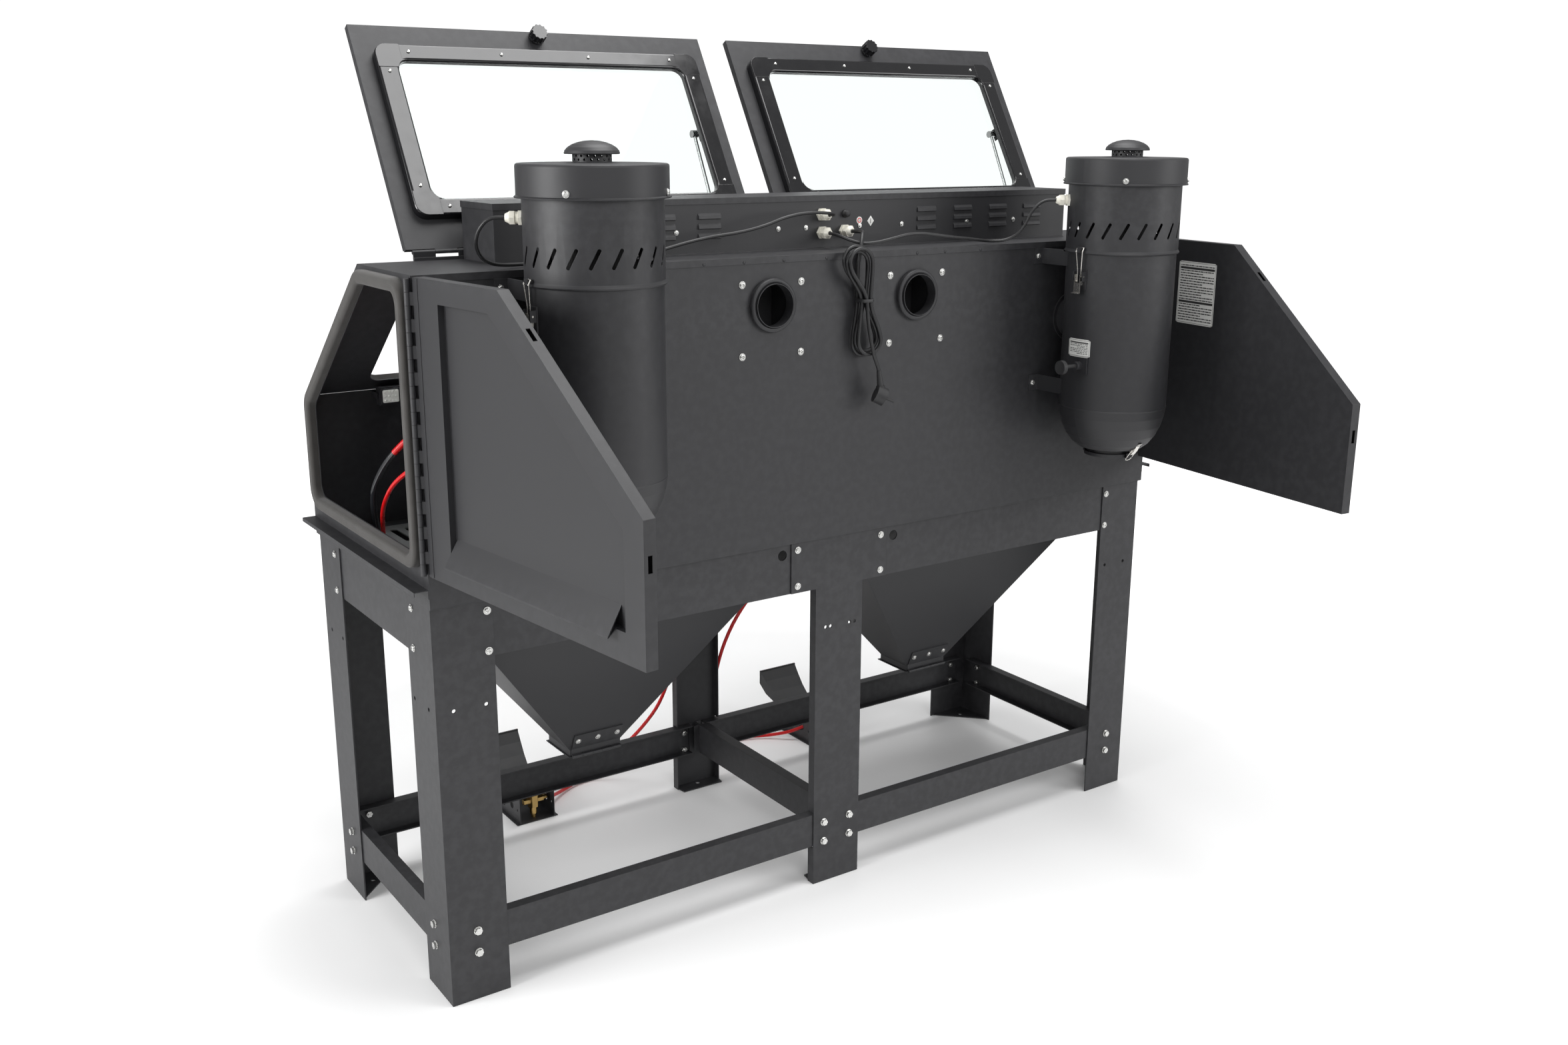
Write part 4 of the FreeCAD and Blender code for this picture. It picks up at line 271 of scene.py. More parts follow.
def metal(name, colour, roughness, stretch=(1, 1, 1), grain=500.0, strength=0.1):
    """Bare metal with a directional or plain grain."""
    s = Shader(name, colour, roughness, metallic=1.0)
    lines = s.noise(grain, 3, vector=s.stretched(stretch))
    s.link(s.span(lines, 0.3, 0.7, roughness - 0.06, roughness + 0.1), "Roughness")
    s.link(s.blend(s.noise(18, 3), colour, tuple(c * 0.88 for c in colour)), "Base Color")
    s.round_edges(0.0005)
    s.bump(lines, strength, 0.0002)
    return s.done()


def clear_glass(name):
    s = Shader(name, (0.93, 0.97, 0.96), 0.02, Transmission_Weight=1.0, IOR=1.2)
    s.link(s.span(s.noise(7, 5, 0.7), 0.45, 0.8, 0.0, 0.06), "Roughness")
    return s.done()


def woven_filter(name, colour):
    s = Shader(name, colour, 0.9, Sheen_Weight=0.3)
    fibres = s.noise(700, 5, 0.7, vector=s.stretched((1, 1, 0.25)))
    s.link(s.blend(fibres, colour, tuple(c * 0.82 for c in colour)), "Base Color")
    s.bump(fibres, 0.4, 0.0005)
    return s.done()


def floor_material():
    s = Shader("studio_floor", (0.93, 0.93, 0.93), 0.4)
    s.link(s.span(s.noise(1.3, 3), 0.3, 0.7, 0.32, 0.5), "Roughness")
    s.link(s.blend(s.noise(0.8, 2), (0.93, 0.93, 0.93), (0.9, 0.9, 0.9)), "Base Color")
    away = s.add("ShaderNodeVectorMath", {"Vector": s.coords}, operation="LENGTH").outputs["Value"]
    ramp = s.span(away, GLOW_FROM, GLOW_FULL, 0.0, FLOOR_GLOW)
    glow = s.math("MULTIPLY", ramp, seen_directly(s.tree))
    s.set("Emission Color", (1, 1, 1, 1))
    s.link(glow, "Emission Strength")
    return s.done()


PAINT = (0.0165, 0.0165, 0.0185)
materials = {
    "powder": powder_coat("black_powder_coat", PAINT),
    "powder_smooth": powder_coat("black_powder_coat_fine", (0.015, 0.015, 0.017), 0.40, 2200.0, 0.1),
    "zinc": bright_zinc("bright_zinc"),
    "seal": sponge_rubber("sponge_rubber", (0.022, 0.020, 0.018)),
    "glove": sponge_rubber("glove_rubber", (0.012, 0.012, 0.013), 0.6),
    "trim": gloss_plastic("gloss_black_trim", (0.006, 0.006, 0.007)),
    "glass": clear_glass("window_glass"),
    "grate": metal("galvanised_grate", (0.42, 0.43, 0.43), 0.45, grain=260, strength=0.2),
    "nickel": metal("nickel_plate", (0.74, 0.72, 0.68), 0.2, grain=900, strength=0.04),
    "polished": metal("polished_rod", (0.8, 0.8, 0.8), 0.12, (1, 1, 0.04), 900, 0.03),
    "black_plastic": matt_plastic("moulded_black_plastic", (0.014, 0.014, 0.015)),
    "tread": matt_plastic("pedal_plastic", (0.020, 0.020, 0.021), 0.6, 520.0),
    "cream": matt_plastic("cream_plastic", (0.68, 0.66, 0.58), 0.4, 1500.0),
    "brass": metal("turned_brass", (0.62, 0.42, 0.16), 0.3, (1, 1, 6), 400, 0.1),
    "red_hose": smooth_hose("red_air_hose", (0.62, 0.006, 0.008)),
    "dark_hose": smooth_hose("dark_clear_hose", (0.016, 0.017, 0.02), 0.16, Coat_Weight=0.6),
    "cable": smooth_hose("cable_sheath", (0.011, 0.011, 0.012), 0.45),
    "alloy": metal("cast_alloy", (0.52, 0.53, 0.54), 0.5, grain=700, strength=0.3),
    "filter": woven_filter("pleated_filter", (0.72, 0.70, 0.64)),
    "case": metal("folded_aluminium", (0.6, 0.61, 0.62), 0.4, (1, 12, 1), 300, 0.12),
    "label": matt_plastic("printed_label", (0.62, 0.62, 0.60), 0.38, 2400.0),
    "ink": matt_plastic("label_ink", (0.03, 0.03, 0.03), 0.45, 2400.0),
    "red_ink": matt_plastic("label_red_ink", (0.55, 0.03, 0.03), 0.45, 2400.0),
    "lens": matt_plastic("lamp_lens", (0.78, 0.78, 0.74), 0.25, 900.0),
}

BY_NODE = {
    "pan_screws": "zinc", "hex_bolts": "zinc", "rubber_seals": "seal", "gloves": "glove",
    "glove_rings": "black_plastic", "work_grates": "grate", "spray_guns": "alloy", "hoses": "red_hose",
    "fan_cables": "cable", "mains_cord": "cable",
    "cord_hank": "cable", "mains_plug": "black_plastic", "pedal_valves": "brass", "cable_glands": "cream",
    "filter_cartridges": "filter", "blower_motors": "black_plastic", "power_supply": "case",
    "switch_rocker": "black_plastic", "floodlights": "powder_smooth",
}
BY_STEM = {
    "lid_window": "glass", "window_trim": "trim", "strut_rod": "polished", "strut_cylinder": "powder_smooth",
    "canister_latch": "nickel", "latch_bail": "nickel", "treadle": "tread", "shaker_knob": "black_plastic",
}


def paint_nodes():
    for name, node in nodes.items():
        stem = name.rsplit("_", 1)[0]
        key = BY_NODE.get(name) or BY_STEM.get(stem, "powder")
        node.data.materials.clear()
        node.data.materials.append(materials[key])


FLOOR_PLATE_Z = 0.7        # hoses above it are inside the cabinet
MEDIA_HOSE_Y = -0.13       # of those, the ones that reach in front of it carry media


def two_hoses(node):
    """Media hoses are dark and clear, the air hoses beside them red."""
    mesh = node.data
    bm = bmesh.new()
    bm.from_mesh(mesh)
    bm.faces.ensure_lookup_table()
    seen, dark = set(), set()
    for face in bm.faces:
        if face.index in seen:
            continue
        seen.add(face.index)
        island, edge = [face], [face]
        while edge:
            for link in [f for e in edge.pop().edges for f in e.link_faces]:
                if link.index not in seen:
                    seen.add(link.index)
                    island.append(link)
                    edge.append(link)
        spots = [v.co for f in island for v in f.verts]
        if min(p.z for p in spots) > FLOOR_PLATE_Z and min(p.y for p in spots) < MEDIA_HOSE_Y:
            dark.update(f.index for f in island)
    bm.free()
    mesh.materials.append(materials["dark_hose"])
    for index in dark:
        mesh.polygons[index].material_index = 1


# ---- building blocks for the added pieces, in metres ----------------------------------------
MM = 0.001


def at(x, y, z):
    return Vector((x, y, z)) * MM


def add_piece(name, verts, faces, keys, body="cabinet", face_keys=None, smooth=True):
    """A mesh object with its materials, riding on a body."""
    mesh = bpy.data.meshes.new(name)
    mesh.from_pydata([tuple(v) for v in verts], [], faces)
    for key in keys:
        mesh.materials.append(materials[key])
    for index, polygon in enumerate(mesh.polygons):
        polygon.use_smooth = smooth
        if face_keys:
            polygon.material_index = face_keys[index]
    mesh.validate()
    piece = bpy.data.objects.new(name, mesh)
    bpy.context.scene.collection.objects.link(piece)
    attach(piece, body)
    return piece


def soften(piece, width, segments=2):
    bevel = piece.modifiers.new("rounded_edges", "BEVEL")
    bevel.width, bevel.segments, bevel.limit_method = width, segments, "ANGLE"
    bevel.angle_limit = math.radians(35)
    return piece


class Parts:
    """Collects lathed, extruded and swept shapes into one mesh."""

    def __init__(self):
        self.verts, self.faces, self.keys = [], [], []

    def grid(self, rings, closed=True, ends=True, key=0):
        first, count = len(self.verts), len(rings[0])
        for ring in rings:
            self.verts += ring
        span = count if closed else count - 1
        for i in range(len(rings) - 1):
            for j in range(span):
                a, b = first + i * count + j, first + i * count + (j + 1) % count
                self.faces.append((a, b, b + count, a + count))
                self.keys.append(key)
        if ends:
            self.faces.append(tuple(first + j for j in reversed(range(count))))
            self.faces.append(tuple(first + (len(rings) - 1) * count + j for j in range(count)))
            self.keys += [key, key]

    def lathe(self, profile, centre, axis, sides=24, key=0, ribs=0, rib_depth=0.0):
        """profile is (radius, height along axis) in mm."""
        axis = Vector(axis).normalized()
        side = axis.orthogonal().normalized()
        other = axis.cross(side)
        rings = []
        for radius, height in profile:
            ring = []
            for j in range(sides):
                a = 2 * math.pi * j / sides
                r = radius - (rib_depth if ribs and (j * ribs // sides) % 2 else 0.0)
                spoke = side * math.cos(a) + other * math.sin(a)
                ring.append(Vector(centre) + (axis * height + spoke * r) * MM)
            rings.append(ring)
        self.grid(rings, key=key)

    def face(self, points, key=0):
        first = len(self.verts)
        self.verts += points
        self.faces.append(tuple(range(first, first + len(points))))
        self.keys.append(key)

    def extrude(self, outline, depth, key=0):
        self.grid([list(outline), [p + depth for p in outline]], key=key)

    def sweep(self, path, radius, sides=12, key=0):
        """Round wire along a path, without twist."""
        side = (path[1] - path[0]).orthogonal().normalized()
        rings = []
        for i, point in enumerate(path):
            lead = (path[min(i + 1, len(path) - 1)] - path[max(i - 1, 0)]).normalized()
            side = (side - lead * side.dot(lead)).normalized()
            other = lead.cross(side)
            rings.append([point + (side * math.cos(a) + other * math.sin(a)) * radius
                          for a in [2 * math.pi * j / sides for j in range(sides)]])
        self.grid(rings, key=key)

    def made(self, name, keys, body="cabinet", smooth=True):
        return add_piece(name, self.verts, self.faces, keys, body, self.keys, smooth)


def rounded_box(x0, x1, y0, y1, radius, steps=5):
    """Corner-rounded outline in a plane, anticlockwise."""
    points = []
    for cx, cy, start in ((x1, y1, 0), (x0, y1, 90), (x0, y0, 180), (x1, y0, 270)):
        sx, sy = (1 if cx == x1 else -1), (1 if cy == y1 else -1)
        for i in range(steps + 1):
            a = math.radians(start + 90 * i / steps)
            points.append((cx - sx * radius + radius * math.cos(a), cy - sy * radius + radius * math.sin(a)))
    return points


# ---- mains lead: one line from the gland through the hank to the plug ------------------------
LEAD_DIAMETER = 0.008
LEAD_IN = [(-79, 219, 1431), (-78, 252, 1432), (-67, 279, 1434), (-50, 300, 1432), (-37, 315, 1420),
           (-28, 322.7, 1399)]
LEAD_OUT = [(-45, 352, 1190), (-50, 352, 1178), (-55, 352, 1167), (-59, 352, 1156)]
LAYERS = (322.7, 331.1, 339.5, 347.9)
TIE_Z = 1301.0
TOP_FOLDS = ((-10, 1380, 30.5), (-9, 1374, 27.0), (-12, 1378, 29.0))        # centre x, centre z, radius
LOW_FOLDS = ((-38, 1213, 27.0), (-37, 1221, 25.5), (-40, 1216, 26.0))
TIE_X = ((-22, -22), (-31.4, -40), (-21.4, -30), (-28.4, -37))              # each layer's +X and -X strand
TIE_CENTRE, TIE_HALF = (-31, 335.2), (15.2, 17.6)
TIE_PROFILE = ((1297.5, 0.0), (1298.3, 0.9), (1303.7, 0.9), (1304.5, 0.0))  # height and swell of the band
TIE_WALL = 0.02                                                             # as a share of its half size


def strand(x_from, z_from, x_to, z_to, y, count):
    """Points between two folds, easing in and out so that the strand starts and ends upright."""
    points = []
    for i in range(1, count):
        t = i / count
        ease = t * t * (3 - 2 * t)
        points.append((x_from + (x_to - x_from) * ease, y, z_from + (z_to - z_from) * t))
    return points


def lead_route():
    points = list(LEAD_IN)
    centre, z, r = LOW_FOLDS[0]
    points += [(-22, LAYERS[0], 1372), (-21.5, LAYERS[0], 1336), (TIE_X[0][0], LAYERS[0], TIE_Z)]
    points += strand(TIE_X[0][0], TIE_Z, centre + r, z, LAYERS[0], 5)
    for turn in range(3):
        low, high = LAYERS[turn], LAYERS[turn + 1]
        centre, z, r = LOW_FOLDS[turn]
        for i in range(7):
            a = math.pi * i / 6
            y = low + (high - low) * (i / 6) ** 1.7
            points.append((centre + r * math.cos(a), y, z - r * math.sin(a)))
        top, top_z, top_r = TOP_FOLDS[turn]
        outer, inner = TIE_X[turn + 1][1], TIE_X[turn + 1][0]
        points += strand(centre - r, z, outer, TIE_Z, high, 5) + [(outer, high, TIE_Z)]
        points += strand(outer, TIE_Z, top - top_r, top_z, high, 4)
        for i in range(7):
            a = math.pi * i / 6
            points.append((top - top_r * math.cos(a), high, top_z + top_r * math.sin(a)))
        points += strand(top + top_r, top_z, inner, TIE_Z, high, 4) + [(inner, high, TIE_Z)]
        if turn < 2:
            centre, z, r = LOW_FOLDS[turn + 1]
            points += strand(inner, TIE_Z, centre + r, z, high, 5)
    points += [(-29.5, 348.6, 1272), (-33, 350.2, 1242), (-39, 351.8, 1212)]
    return points + list(LEAD_OUT)


def make_tie():
    """Band around the middle of the hank, nearly rectangular in plan."""
    def squared(value):
        return math.copysign(abs(value) ** 0.6, value)

    rings = []
    for z, swell in TIE_PROFILE:
        rings.append([at(TIE_CENTRE[0] + (TIE_HALF[0] + swell) * squared(math.cos(a)),
                         TIE_CENTRE[1] + (TIE_HALF[1] + swell) * squared(math.sin(a)), z)
                      for a in [2 * math.pi * j / 40 for j in range(40)]])
    axis = at(*TIE_CENTRE, 0)
    inner = [[p + (axis - Vector((p.x, p.y, 0))) * TIE_WALL for p in ring] for ring in reversed(rings)]
    tie = Parts()
    tie.grid(rings + inner + [rings[0]], ends=False)
    return tie.made("hank_tie", ["black_plastic"])


def make_lead():
    data = bpy.data.curves.new("mains_lead", "CURVE")
    data.dimensions = "3D"
    data.bevel_depth, data.bevel_resolution, data.use_fill_caps = LEAD_DIAMETER / 2, 4, True
    spline = data.splines.new("NURBS")
    route = lead_route()
    spline.points.add(len(route) - 1)
    for point, place in zip(spline.points, route):
        point.co = (place[0] * MM, place[1] * MM, place[2] * MM, 1)
    spline.order_u = 3
    spline.use_endpoint_u = True
    spline.resolution_u = 6
    data.materials.append(materials["cable"])
    lead = bpy.data.objects.new("mains_lead", data)
    bpy.context.scene.collection.objects.link(lead)
    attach(lead, "cabinet")
    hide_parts("mains_cord", "cord_hank")
    band = make_tie()


# ---- printed labels, plain bars only ---------------------------------------------------------
PLATE_LIFT, PRINT_LIFT = 0.25, 0.35
PLATE_CUT = 3.0                            # corner cut of a plate
BORDER, BORDER_LINE = 2.2, 0.7
TEXT_MARGIN = 6.0
STEP = 6                                   # longest flat stretch, so that a plate bends with its wall


def label(name, place, width, height, body, rows, heavy=()):
    """Plate with a line border and rows of short bars; place(u, v, lift) gives the point in mm."""
    parts = Parts()

    def bar(u0, u1, v0, v1):
        steps = max(1, int((u1 - u0) / STEP))
        stations = [u0 + (u1 - u0) * i / steps for i in range(steps + 1)]
        rings = [[place(u, v, PRINT_LIFT) * MM for v in (v0, v1)] for u in stations]
        parts.grid(rings, closed=False, ends=False, key=1)

    columns = max(2, int(width / STEP))
    for i in range(columns):
        u0, u1 = width * i / columns, width * (i + 1) / columns
        cut0 = PLATE_CUT if i == 0 else 0.0
        cut1 = PLATE_CUT if i == columns - 1 else 0.0
        corners = [(u0, cut0), (u1, cut1), (u1, height - cut1), (u0, height - cut0)]
        parts.face([place(u, v, PLATE_LIFT) * MM for u, v in corners])
    right, top = width - BORDER, height - BORDER
    bar(BORDER, right, BORDER, BORDER + BORDER_LINE)
    bar(BORDER, right, top - BORDER_LINE, top)
    bar(BORDER, BORDER + BORDER_LINE, BORDER, top)
    bar(right - BORDER_LINE, right, BORDER, top)
    pitch = (height - 2 * TEXT_MARGIN) / rows
    for row in range(rows):
        v = height - TEXT_MARGIN - (row + 0.5) * pitch
        if row in heavy:
            bar(5, width - 5, v - pitch * 0.42, v + pitch * 0.42)
            continue
        u, step = TEXT_MARGIN, row
        end = width - TEXT_MARGIN - (width * 0.3 if row % 4 == 3 else 0)
        while u < end - 2:
            run = min(3.0 + (step * 7 % 5) * 2.1, end - u)
            bar(u, u + run, v - pitch * 0.2, v + pitch * 0.2)
            u, step = u + run + 1.6, step + 1
    return parts.made(name, ["label", "ink"], body, smooth=False)


DOOR_HINGE = Vector((-926, 318, 0))
DOOR_TURN = math.radians(7.3)              # the open left door stands this far past square to the back
DOOR_FACE = 31                             # its outer face, out from the hinge line
DOOR_LABEL_AT, DOOR_LABEL_SIZE = (104, 1208), (120, 141)
CANISTER_X, CANISTER_Y, CANISTER_R = 643, 456.4, 117.5
CANISTER_LABEL_Z, CANISTER_LABEL_SIZE = 1160, (63, 39)


def make_labels():
    out = Vector((math.cos(DOOR_TURN), -math.sin(DOOR_TURN), 0))
    along = Vector((math.sin(DOOR_TURN), math.cos(DOOR_TURN), 0))

    def on_door(u, v, lift):
        along_door, above_floor = DOOR_LABEL_AT[0] + u, DOOR_LABEL_AT[1] + v
        return DOOR_HINGE + out * (DOOR_FACE + lift) + along * along_door + Vector((0, 0, above_floor))

    label("door_label", on_door, *DOOR_LABEL_SIZE, "door_left", 22, (1, 14))

    def on_canister(side):
        def place(u, v, lift):
            a = math.radians(16) - (u / CANISTER_R)
            r = CANISTER_R + lift
            return Vector((side * CANISTER_X + r * math.cos(a), CANISTER_Y + r * math.sin(a),
                           CANISTER_LABEL_Z + v))
        return place

    for side, name in ((1, "right"), (-1, "left")):
        label("canister_label_" + name, on_canister(side), *CANISTER_LABEL_SIZE, "cabinet", 8, (0,))


# ---- small fittings --------------------------------------------------------------------------
LID_OPEN = math.radians(120.4)             # slope of the open lid's inner side
LID_X, LID_HINGE_Y, LID_HINGE_Z = 429, 46, 1412
TRIM_HALF, TRIM_CORNER = (357.5, 181.5), 23
PANE_HALF, PANE_CORNER = (318.5, 148.5), 22
TRIM_MIDDLE = 247.5                        # middle of the window, along from the hinge
TRIM_FACE = 19.6
CORNER_REACH = 50.0
CORNER_THICKNESS = 1.2
TRIM_SCREWS = [(x, t) for t in (83, 413) for x in (-291, -97, 97, 291)]
TRIM_SCREWS += [(x, t) for t in (127, 370) for x in (-338, 338)]


def pan_head(parts, centre, axis, radius=3.0):
    profile = ((1, 0), (1, 0.5), (0.82, 0.8), (0.4, 0.95), (0.12, 0.97))
    parts.lathe([(r * radius, h * radius) for r, h in profile], centre, axis, 20)


def lid_frame(side):
    """Place on an open lid in mm (across, along from the hinge, out of its inner face), and the way out."""
    along = Vector((0, math.cos(LID_OPEN), math.sin(LID_OPEN)))
    out = Vector((0, math.sin(LID_OPEN), -math.cos(LID_OPEN)))

    def place(x, t, height):
        return Vector((side * LID_X + x, LID_HINGE_Y, LID_HINGE_Z)) + along * t + out * height

    return place, out


def trim_corner_outline():
    """One mitre plate of the window frame, about the window's middle: outer arc, then inner arc back."""
    (wide, tall), (pane_wide, pane_tall) = TRIM_HALF, PANE_HALF
    turns = [math.radians(15 * i) for i in range(7)]
    outer = [(wide - TRIM_CORNER + TRIM_CORNER * math.sin(a), tall - TRIM_CORNER + TRIM_CORNER * math.cos(a))
             for a in turns]
    inner = [(pane_wide - PANE_CORNER + PANE_CORNER * math.sin(a),
              pane_tall - PANE_CORNER + PANE_CORNER * math.cos(a)) for a in reversed(turns)]
    first = [(wide - CORNER_REACH, tall)]
    side = [(wide, tall - CORNER_REACH), (pane_wide, tall - CORNER_REACH)]
    return first + outer + side + inner + [(wide - CORNER_REACH, pane_tall)]


def make_lid_trim_details():
    for side, name in ((1, "right"), (-1, "left")):
        place, out = lid_frame(side)
        screws = Parts()
        for x, t in TRIM_SCREWS:
            pan_head(screws, place(x, t, 20) * MM, out, 3.4)
        screws.made("trim_screws_" + name, ["zinc"], "lid_" + name)
        for number, (sx, st) in enumerate(((-1, -1), (1, -1), (1, 1), (-1, 1))):
            corner = Parts()
            points = [place(sx * x, TRIM_MIDDLE + st * t, TRIM_FACE) * MM for x, t in trim_corner_outline()]
            corner.extrude(points, out * CORNER_THICKNESS * MM)
            piece = corner.made(f"trim_corner_{name}_{number}", ["trim"], "lid_" + name, smooth=False)
            soften(piece, 0.0005)


WELD_ROW_X = (340, 249, 156, 52, -182, -258, -358)
WELD_ROW_Z, BACK_FACE_Y = 1388, 317.0
BOX_FACE_Y = 199
FUSE_AT, ROUND_MARK_AT, DIAMOND_AT = (-81, 1466), (-119, 1451), (-149, 1449)


def make_rear_details():
    rearward = (0, 1, 0)
    welds = Parts()
    dome = [(3.4, 0), (2.6, 0.45), (1.4, 0.75), (0.3, 0.8)]
    for x in WELD_ROW_X:
        welds.lathe(dome, at(x, BACK_FACE_Y, WELD_ROW_Z), rearward, 18)
    welds.made("spot_welds", ["powder"])

    def on_box(spot, dx=0, dz=0, lift=0):
        return at(spot[0] + dx, BOX_FACE_Y + lift, spot[1] + dz)

    fuse = Parts()
    cap = [(8.5, 0), (8.5, 2.5), (6.6, 3.2), (6.6, 11), (5.8, 12), (1, 12.2)]
    fuse.lathe(cap, on_box(FUSE_AT), rearward, 36, ribs=36, rib_depth=0.35)
    fuse.made("fuse_holder", ["black_plastic"])
    marks = Parts()
    disc = on_box(ROUND_MARK_AT)
    marks.lathe([(7.5, 0), (7.5, 0.25), (0.1, 0.26)], disc, rearward, 32, key=0)
    marks.lathe([(5.4, 0.27), (5.4, 0.33), (3.9, 0.34)], disc, rearward, 32, key=2)
    marks.lathe([(3.6, 0.3), (3.6, 0.36), (0.1, 0.37)], disc, rearward, 32, key=0)
    diamond = [on_box(DIAMOND_AT, dx, dz) for dx, dz in ((0, 11), (9, 0), (0, -11), (-9, 0))]
    marks.extrude(diamond, Vector((0, 0.25 * MM, 0)), key=0)
    stroke = [on_box(DIAMOND_AT, dx, dz, 0.3) for dx, dz in ((-0.8, 5), (0.8, 5), (0.8, -5), (-0.8, -5))]
    marks.extrude(stroke, Vector((0, 0.1 * MM, 0)), key=1)
    marks.made("box_marks", ["label", "ink", "red_ink"], smooth=False)


DRAIN_LATCH_OUT, DRAIN_LATCH_Z = 56, 937   # foot of the latch, out from the canister's axis
LEVER_SIDE = ((10, 3.4), (12, 8), (24, 9), (40, 7), (46, 10), (47, 11.4), (39, 8.4), (24, 10.6), (11, 9.6),
              (8.6, 3.6))
CHEEK_SIDE = ((14, 2), (32, 2), (30, 9), (16, 9))
WIRE_HALF = ((8.2, 24), (8.2, 8), (8.0, -4), (6, -8))


def make_drain_latches():
    """Over-centre latch that holds the drain cap against the bowl."""
    across, lean, out = Vector((1, 0, 0)), Vector((0, 0.60, 0.80)), Vector((0, 0.80, -0.60))
    for side, name in ((1, "right"), (-1, "left")):
        foot = Vector((side * CANISTER_X, CANISTER_Y + DRAIN_LATCH_OUT, DRAIN_LATCH_Z))

        def spot(u, v, w):
            return (foot + across * u + lean * v + out * w) * MM

        parts = Parts()
        plate = ((-7, 16), (7, 16), (7, 44), (-7, 44))
        parts.extrude([spot(u, v, 1) for u, v in plate], out * 1.2 * MM)
        parts.grid([[spot(u, v, w) for v, w in LEVER_SIDE] for u in (-5.5, 5.5)])
        for u in (-7, 6):
            parts.grid([[spot(u + wall, v, w) for v, w in CHEEK_SIDE] for wall in (0, 1)])
        bow = [(-u, v) for u, v in WIRE_HALF] + [(0, -9.4)] + list(reversed(WIRE_HALF))
        parts.sweep([spot(u, v, 6.4) for u, v in bow], 1.1 * MM, 10)
        piece = parts.made("drain_latch_" + name, ["nickel"], smooth=False)
        soften(piece, 0.0003, 1)


LAMP_X, LAMP_FACE_Y = 752, -277
LENS_HALF_WIDTH, LENS_Z = 17.5, (1075.5, 1102.5)
DOT_PITCH = (8, 9)                         # rows and columns of small domes


def make_lamp_lenses():
    for side, name in ((1, "right"), (-1, "left")):
        parts = Parts()
        low, high = side * LAMP_X - LENS_HALF_WIDTH, side * LAMP_X + LENS_HALF_WIDTH
        outline = [at(u, LAMP_FACE_Y, v) for u, v in rounded_box(low, high, *LENS_Z, 3)]
        parts.extrude(outline, Vector((0, 0.7 * MM, 0)), key=0)
        for i in range(3):
            for j in range(4):
                centre = at(side * LAMP_X - 12 + DOT_PITCH[0] * j, LAMP_FACE_Y + 0.7, 1080 + DOT_PITCH[1] * i)
                parts.lathe([(3.0, 0), (2.6, 0.8), (1.4, 1.3), (0.2, 1.5)], centre, (0, 1, 0), 16, key=0)
        parts.made("lamp_lens_" + name, ["lens"], smooth=False)


# ---- gloves ----------------------------------------------------------------------------------
PORT_XS = (-629, -229, 229, 629)
PORT_Y = -321
SLEEVE_START, SLEEVE_LENGTH = -7, 243
HAND_Y, HAND_Z = PORT_Y + 226, 881
# stations (in from the port, height, radius) and fingers (across, length, drop)
SLEEVE = ((-7, 952, 83.0), (30, 950, 79), (80, 941, 73), (140, 919, 62), (200, 892, 50), (236, 879, 43))
FINGERS = ((-27, 40, -6), (-13, 52, -10), (1, 56, -11), (15, 50, -9))


def between(table, s):
    """Smooth value along a list of (y, z, r) stations."""
    for (y0, z0, r0), (y1, z1, r1) in zip(table, table[1:]):
        if s <= y1:
            t = (s - y0) / (y1 - y0)
            t = t * t * (3 - 2 * t) * 0.5 + t * 0.5
            return z0 + (z1 - z0) * t, r0 + (r1 - r0) * t
    return table[-1][1], table[-1][2]


def glove_sleeve(x, seed):
    """Limp gauntlet: creased rubber sleeve that hangs from its port."""
    rings = []
    for i in range(90):
        s = SLEEVE_START + SLEEVE_LENGTH * i / 89
        z, r = between(SLEEVE, s)
        slack = min(1.0, max(0.0, s / 45)) * (1 - 0.5 * max(0.0, (s - 180) / 56))
        ring = []
        for j in range(72):
            a = 2 * math.pi * j / 72
            fold = noise.noise(Vector((math.cos(a) * 1.1 + seed, math.sin(a) * 1.1, s * 0.055)))
            crease = noise.noise(Vector((math.cos(a) * 2.6, math.sin(a) * 2.6 + seed, s * 0.11)))
            ridge = math.sin(s * 0.21 + 2.2 * math.sin(a + seed)) * (0.6 + 0.4 * math.cos(a))
            reach = r * (1 + slack * (0.10 * fold + 0.05 * crease)) + slack * 1.6 * ridge - 2.5 * slack
            sag = 1 + slack * (0.10 * math.cos(a) ** 2 - 0.08)
            ring.append(at(x + reach * sag * math.cos(a), PORT_Y + s, z + reach * 0.94 * math.sin(a)))
        rings.append(ring)
    return rings


def capsule(bm, start, end, r0, r1):
    axis = end - start
    turn = axis.to_track_quat("Z", "Y").to_matrix().to_4x4()
    made = bmesh.ops.create_uvsphere(bm, u_segments=20, v_segments=14, radius=1.0)
    for v in made["verts"]:
        top = v.co.z > 0
        r = r1 if top else r0
        local = Vector((v.co.x * r, v.co.y * r, v.co.z * r + (axis.length if top else 0)))
        v.co = start + turn @ local


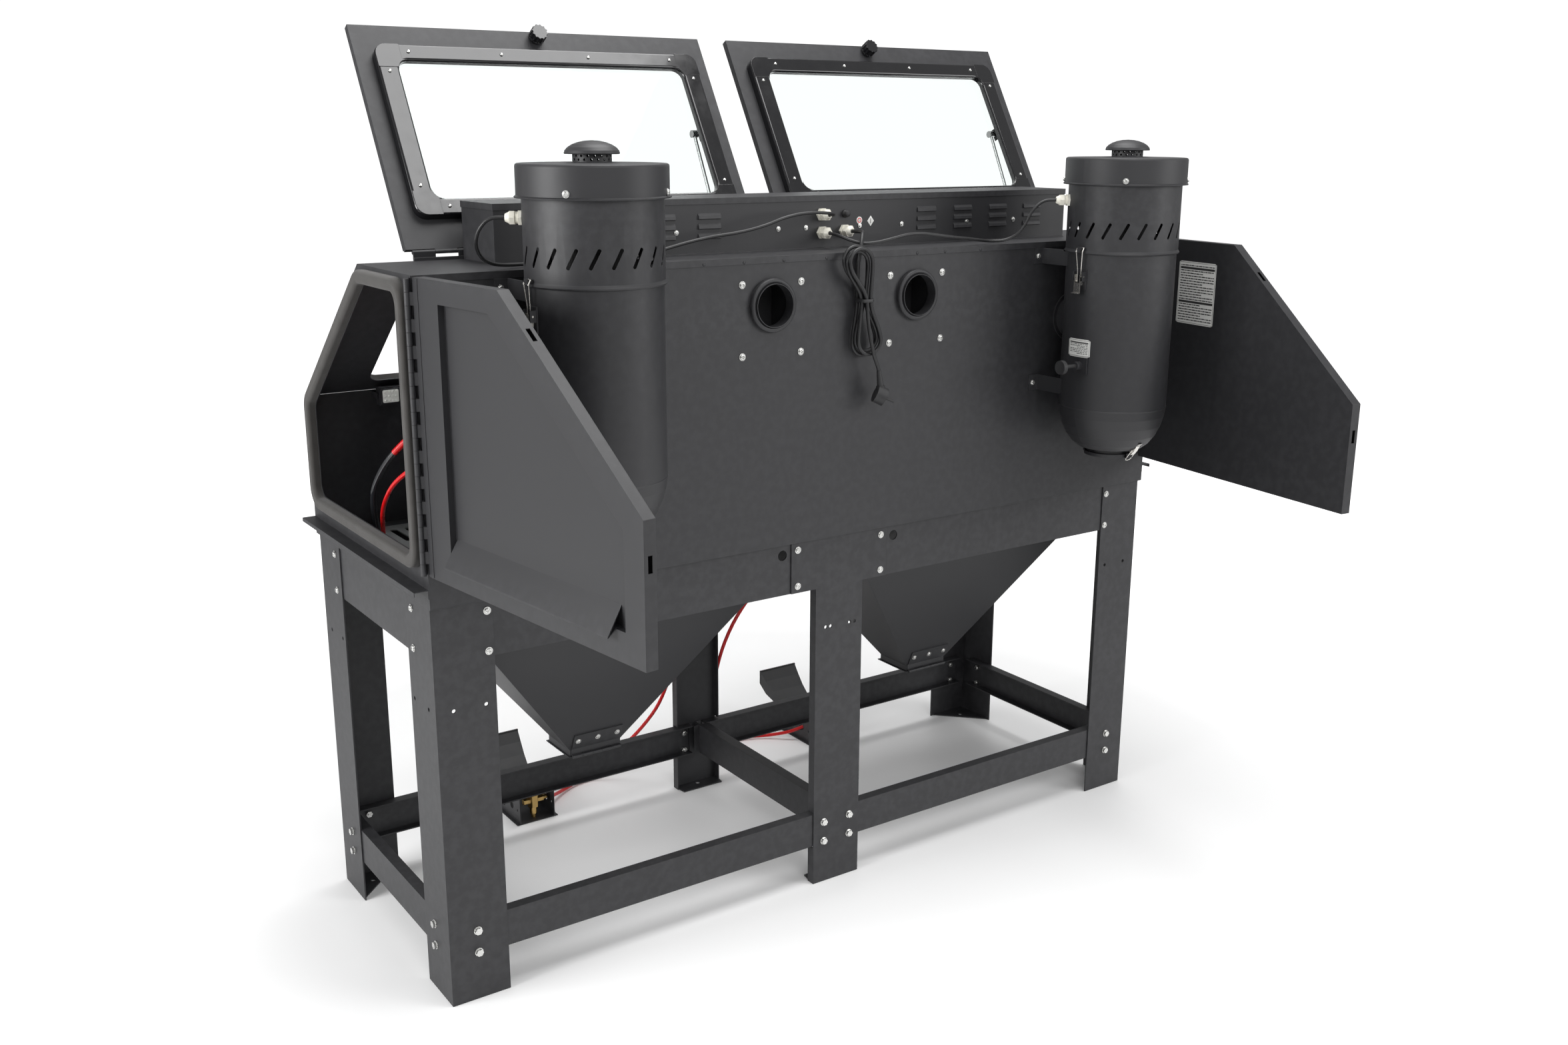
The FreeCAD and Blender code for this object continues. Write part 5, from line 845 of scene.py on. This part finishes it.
def glove_hand(x, side, seed):
    """Palm, four fingers and a thumb, joined into one skin."""
    bm = bmesh.new()
    y, z = HAND_Y, HAND_Z
    for u in (-17, -4, 9):
        capsule(bm, at(x + u, y - 10, z - 1), at(x + u + 2, y + 38, z - 12), 0.021, 0.016)
    for u, length, drop in FINGERS:
        root = at(x + u + 4, y + 36, z - 12)
        bend = root + Vector((u * 0.02, length * 0.55, drop * 0.8)) * MM
        tip = bend + Vector((u * 0.01, length * 0.36, drop * 1.8)) * MM
        capsule(bm, root, bend, 0.0098, 0.0092)
        capsule(bm, bend, tip, 0.0092, 0.0082)
    thumb = at(x - side * 22, y + 4, z - 8)
    knuckle = thumb + Vector((-side * 15, 26, -14)) * MM
    thumb_tip = thumb + Vector((-side * 17, 46, -26)) * MM
    capsule(bm, thumb, knuckle, 0.0125, 0.0105)
    capsule(bm, knuckle, thumb_tip, 0.0105, 0.0088)
    mesh = bpy.data.meshes.new("hand_form")
    bm.to_mesh(mesh)
    bm.free()
    form = bpy.data.objects.new("hand_form", mesh)
    bpy.context.scene.collection.objects.link(form)
    remesh = form.modifiers.new("skin", "REMESH")
    remesh.mode, remesh.voxel_size = "VOXEL", 0.003
    smooth = form.modifiers.new("smooth", "SMOOTH")
    smooth.factor, smooth.iterations = 0.5, 6
    shaped = bpy.data.meshes.new_from_object(form.evaluated_get(bpy.context.evaluated_depsgraph_get()))
    bpy.data.objects.remove(form)
    verts = []
    for v in shaped.vertices:
        ripple = noise.noise(v.co * 60 + Vector((seed, 0, 0))) * 0.0012
        verts.append(v.co + v.normal * ripple)
    return verts, [tuple(p.vertices) for p in shaped.polygons]


def make_gloves():
    pieces = []
    for number, x in enumerate(PORT_XS):
        side = 1 if number % 2 else -1
        parts = Parts()
        rings = glove_sleeve(x, number * 3.7)
        parts.grid(rings, ends=False)
        bead = [[p + Vector((0, dy, 0)) * MM for p in rings[0]] for dy in (0, -2)]
        parts.grid(bead, ends=False)
        first = len(parts.verts)
        verts, faces = glove_hand(x, side, number * 5.3)
        parts.verts += verts
        parts.faces += [tuple(first + i for i in face) for face in faces]
        parts.keys += [0] * len(faces)
        piece = parts.made(f"glove_{number + 1}", ["glove"])
        solid = piece.modifiers.new("rubber_wall", "SOLIDIFY")
        solid.thickness, solid.offset = 0.0012, -1.0
        piece.modifiers.new("surface", "SUBSURF").levels = 1
        pieces.append(piece)
    for piece in pieces:
        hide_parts("gloves")


paint_nodes()
two_hoses(nodes["hoses"])
make_camera()
make_lead()
make_studio()
make_labels()
make_lid_trim_details()
make_rear_details()
make_drain_latches()
make_lamp_lenses()
make_gloves()
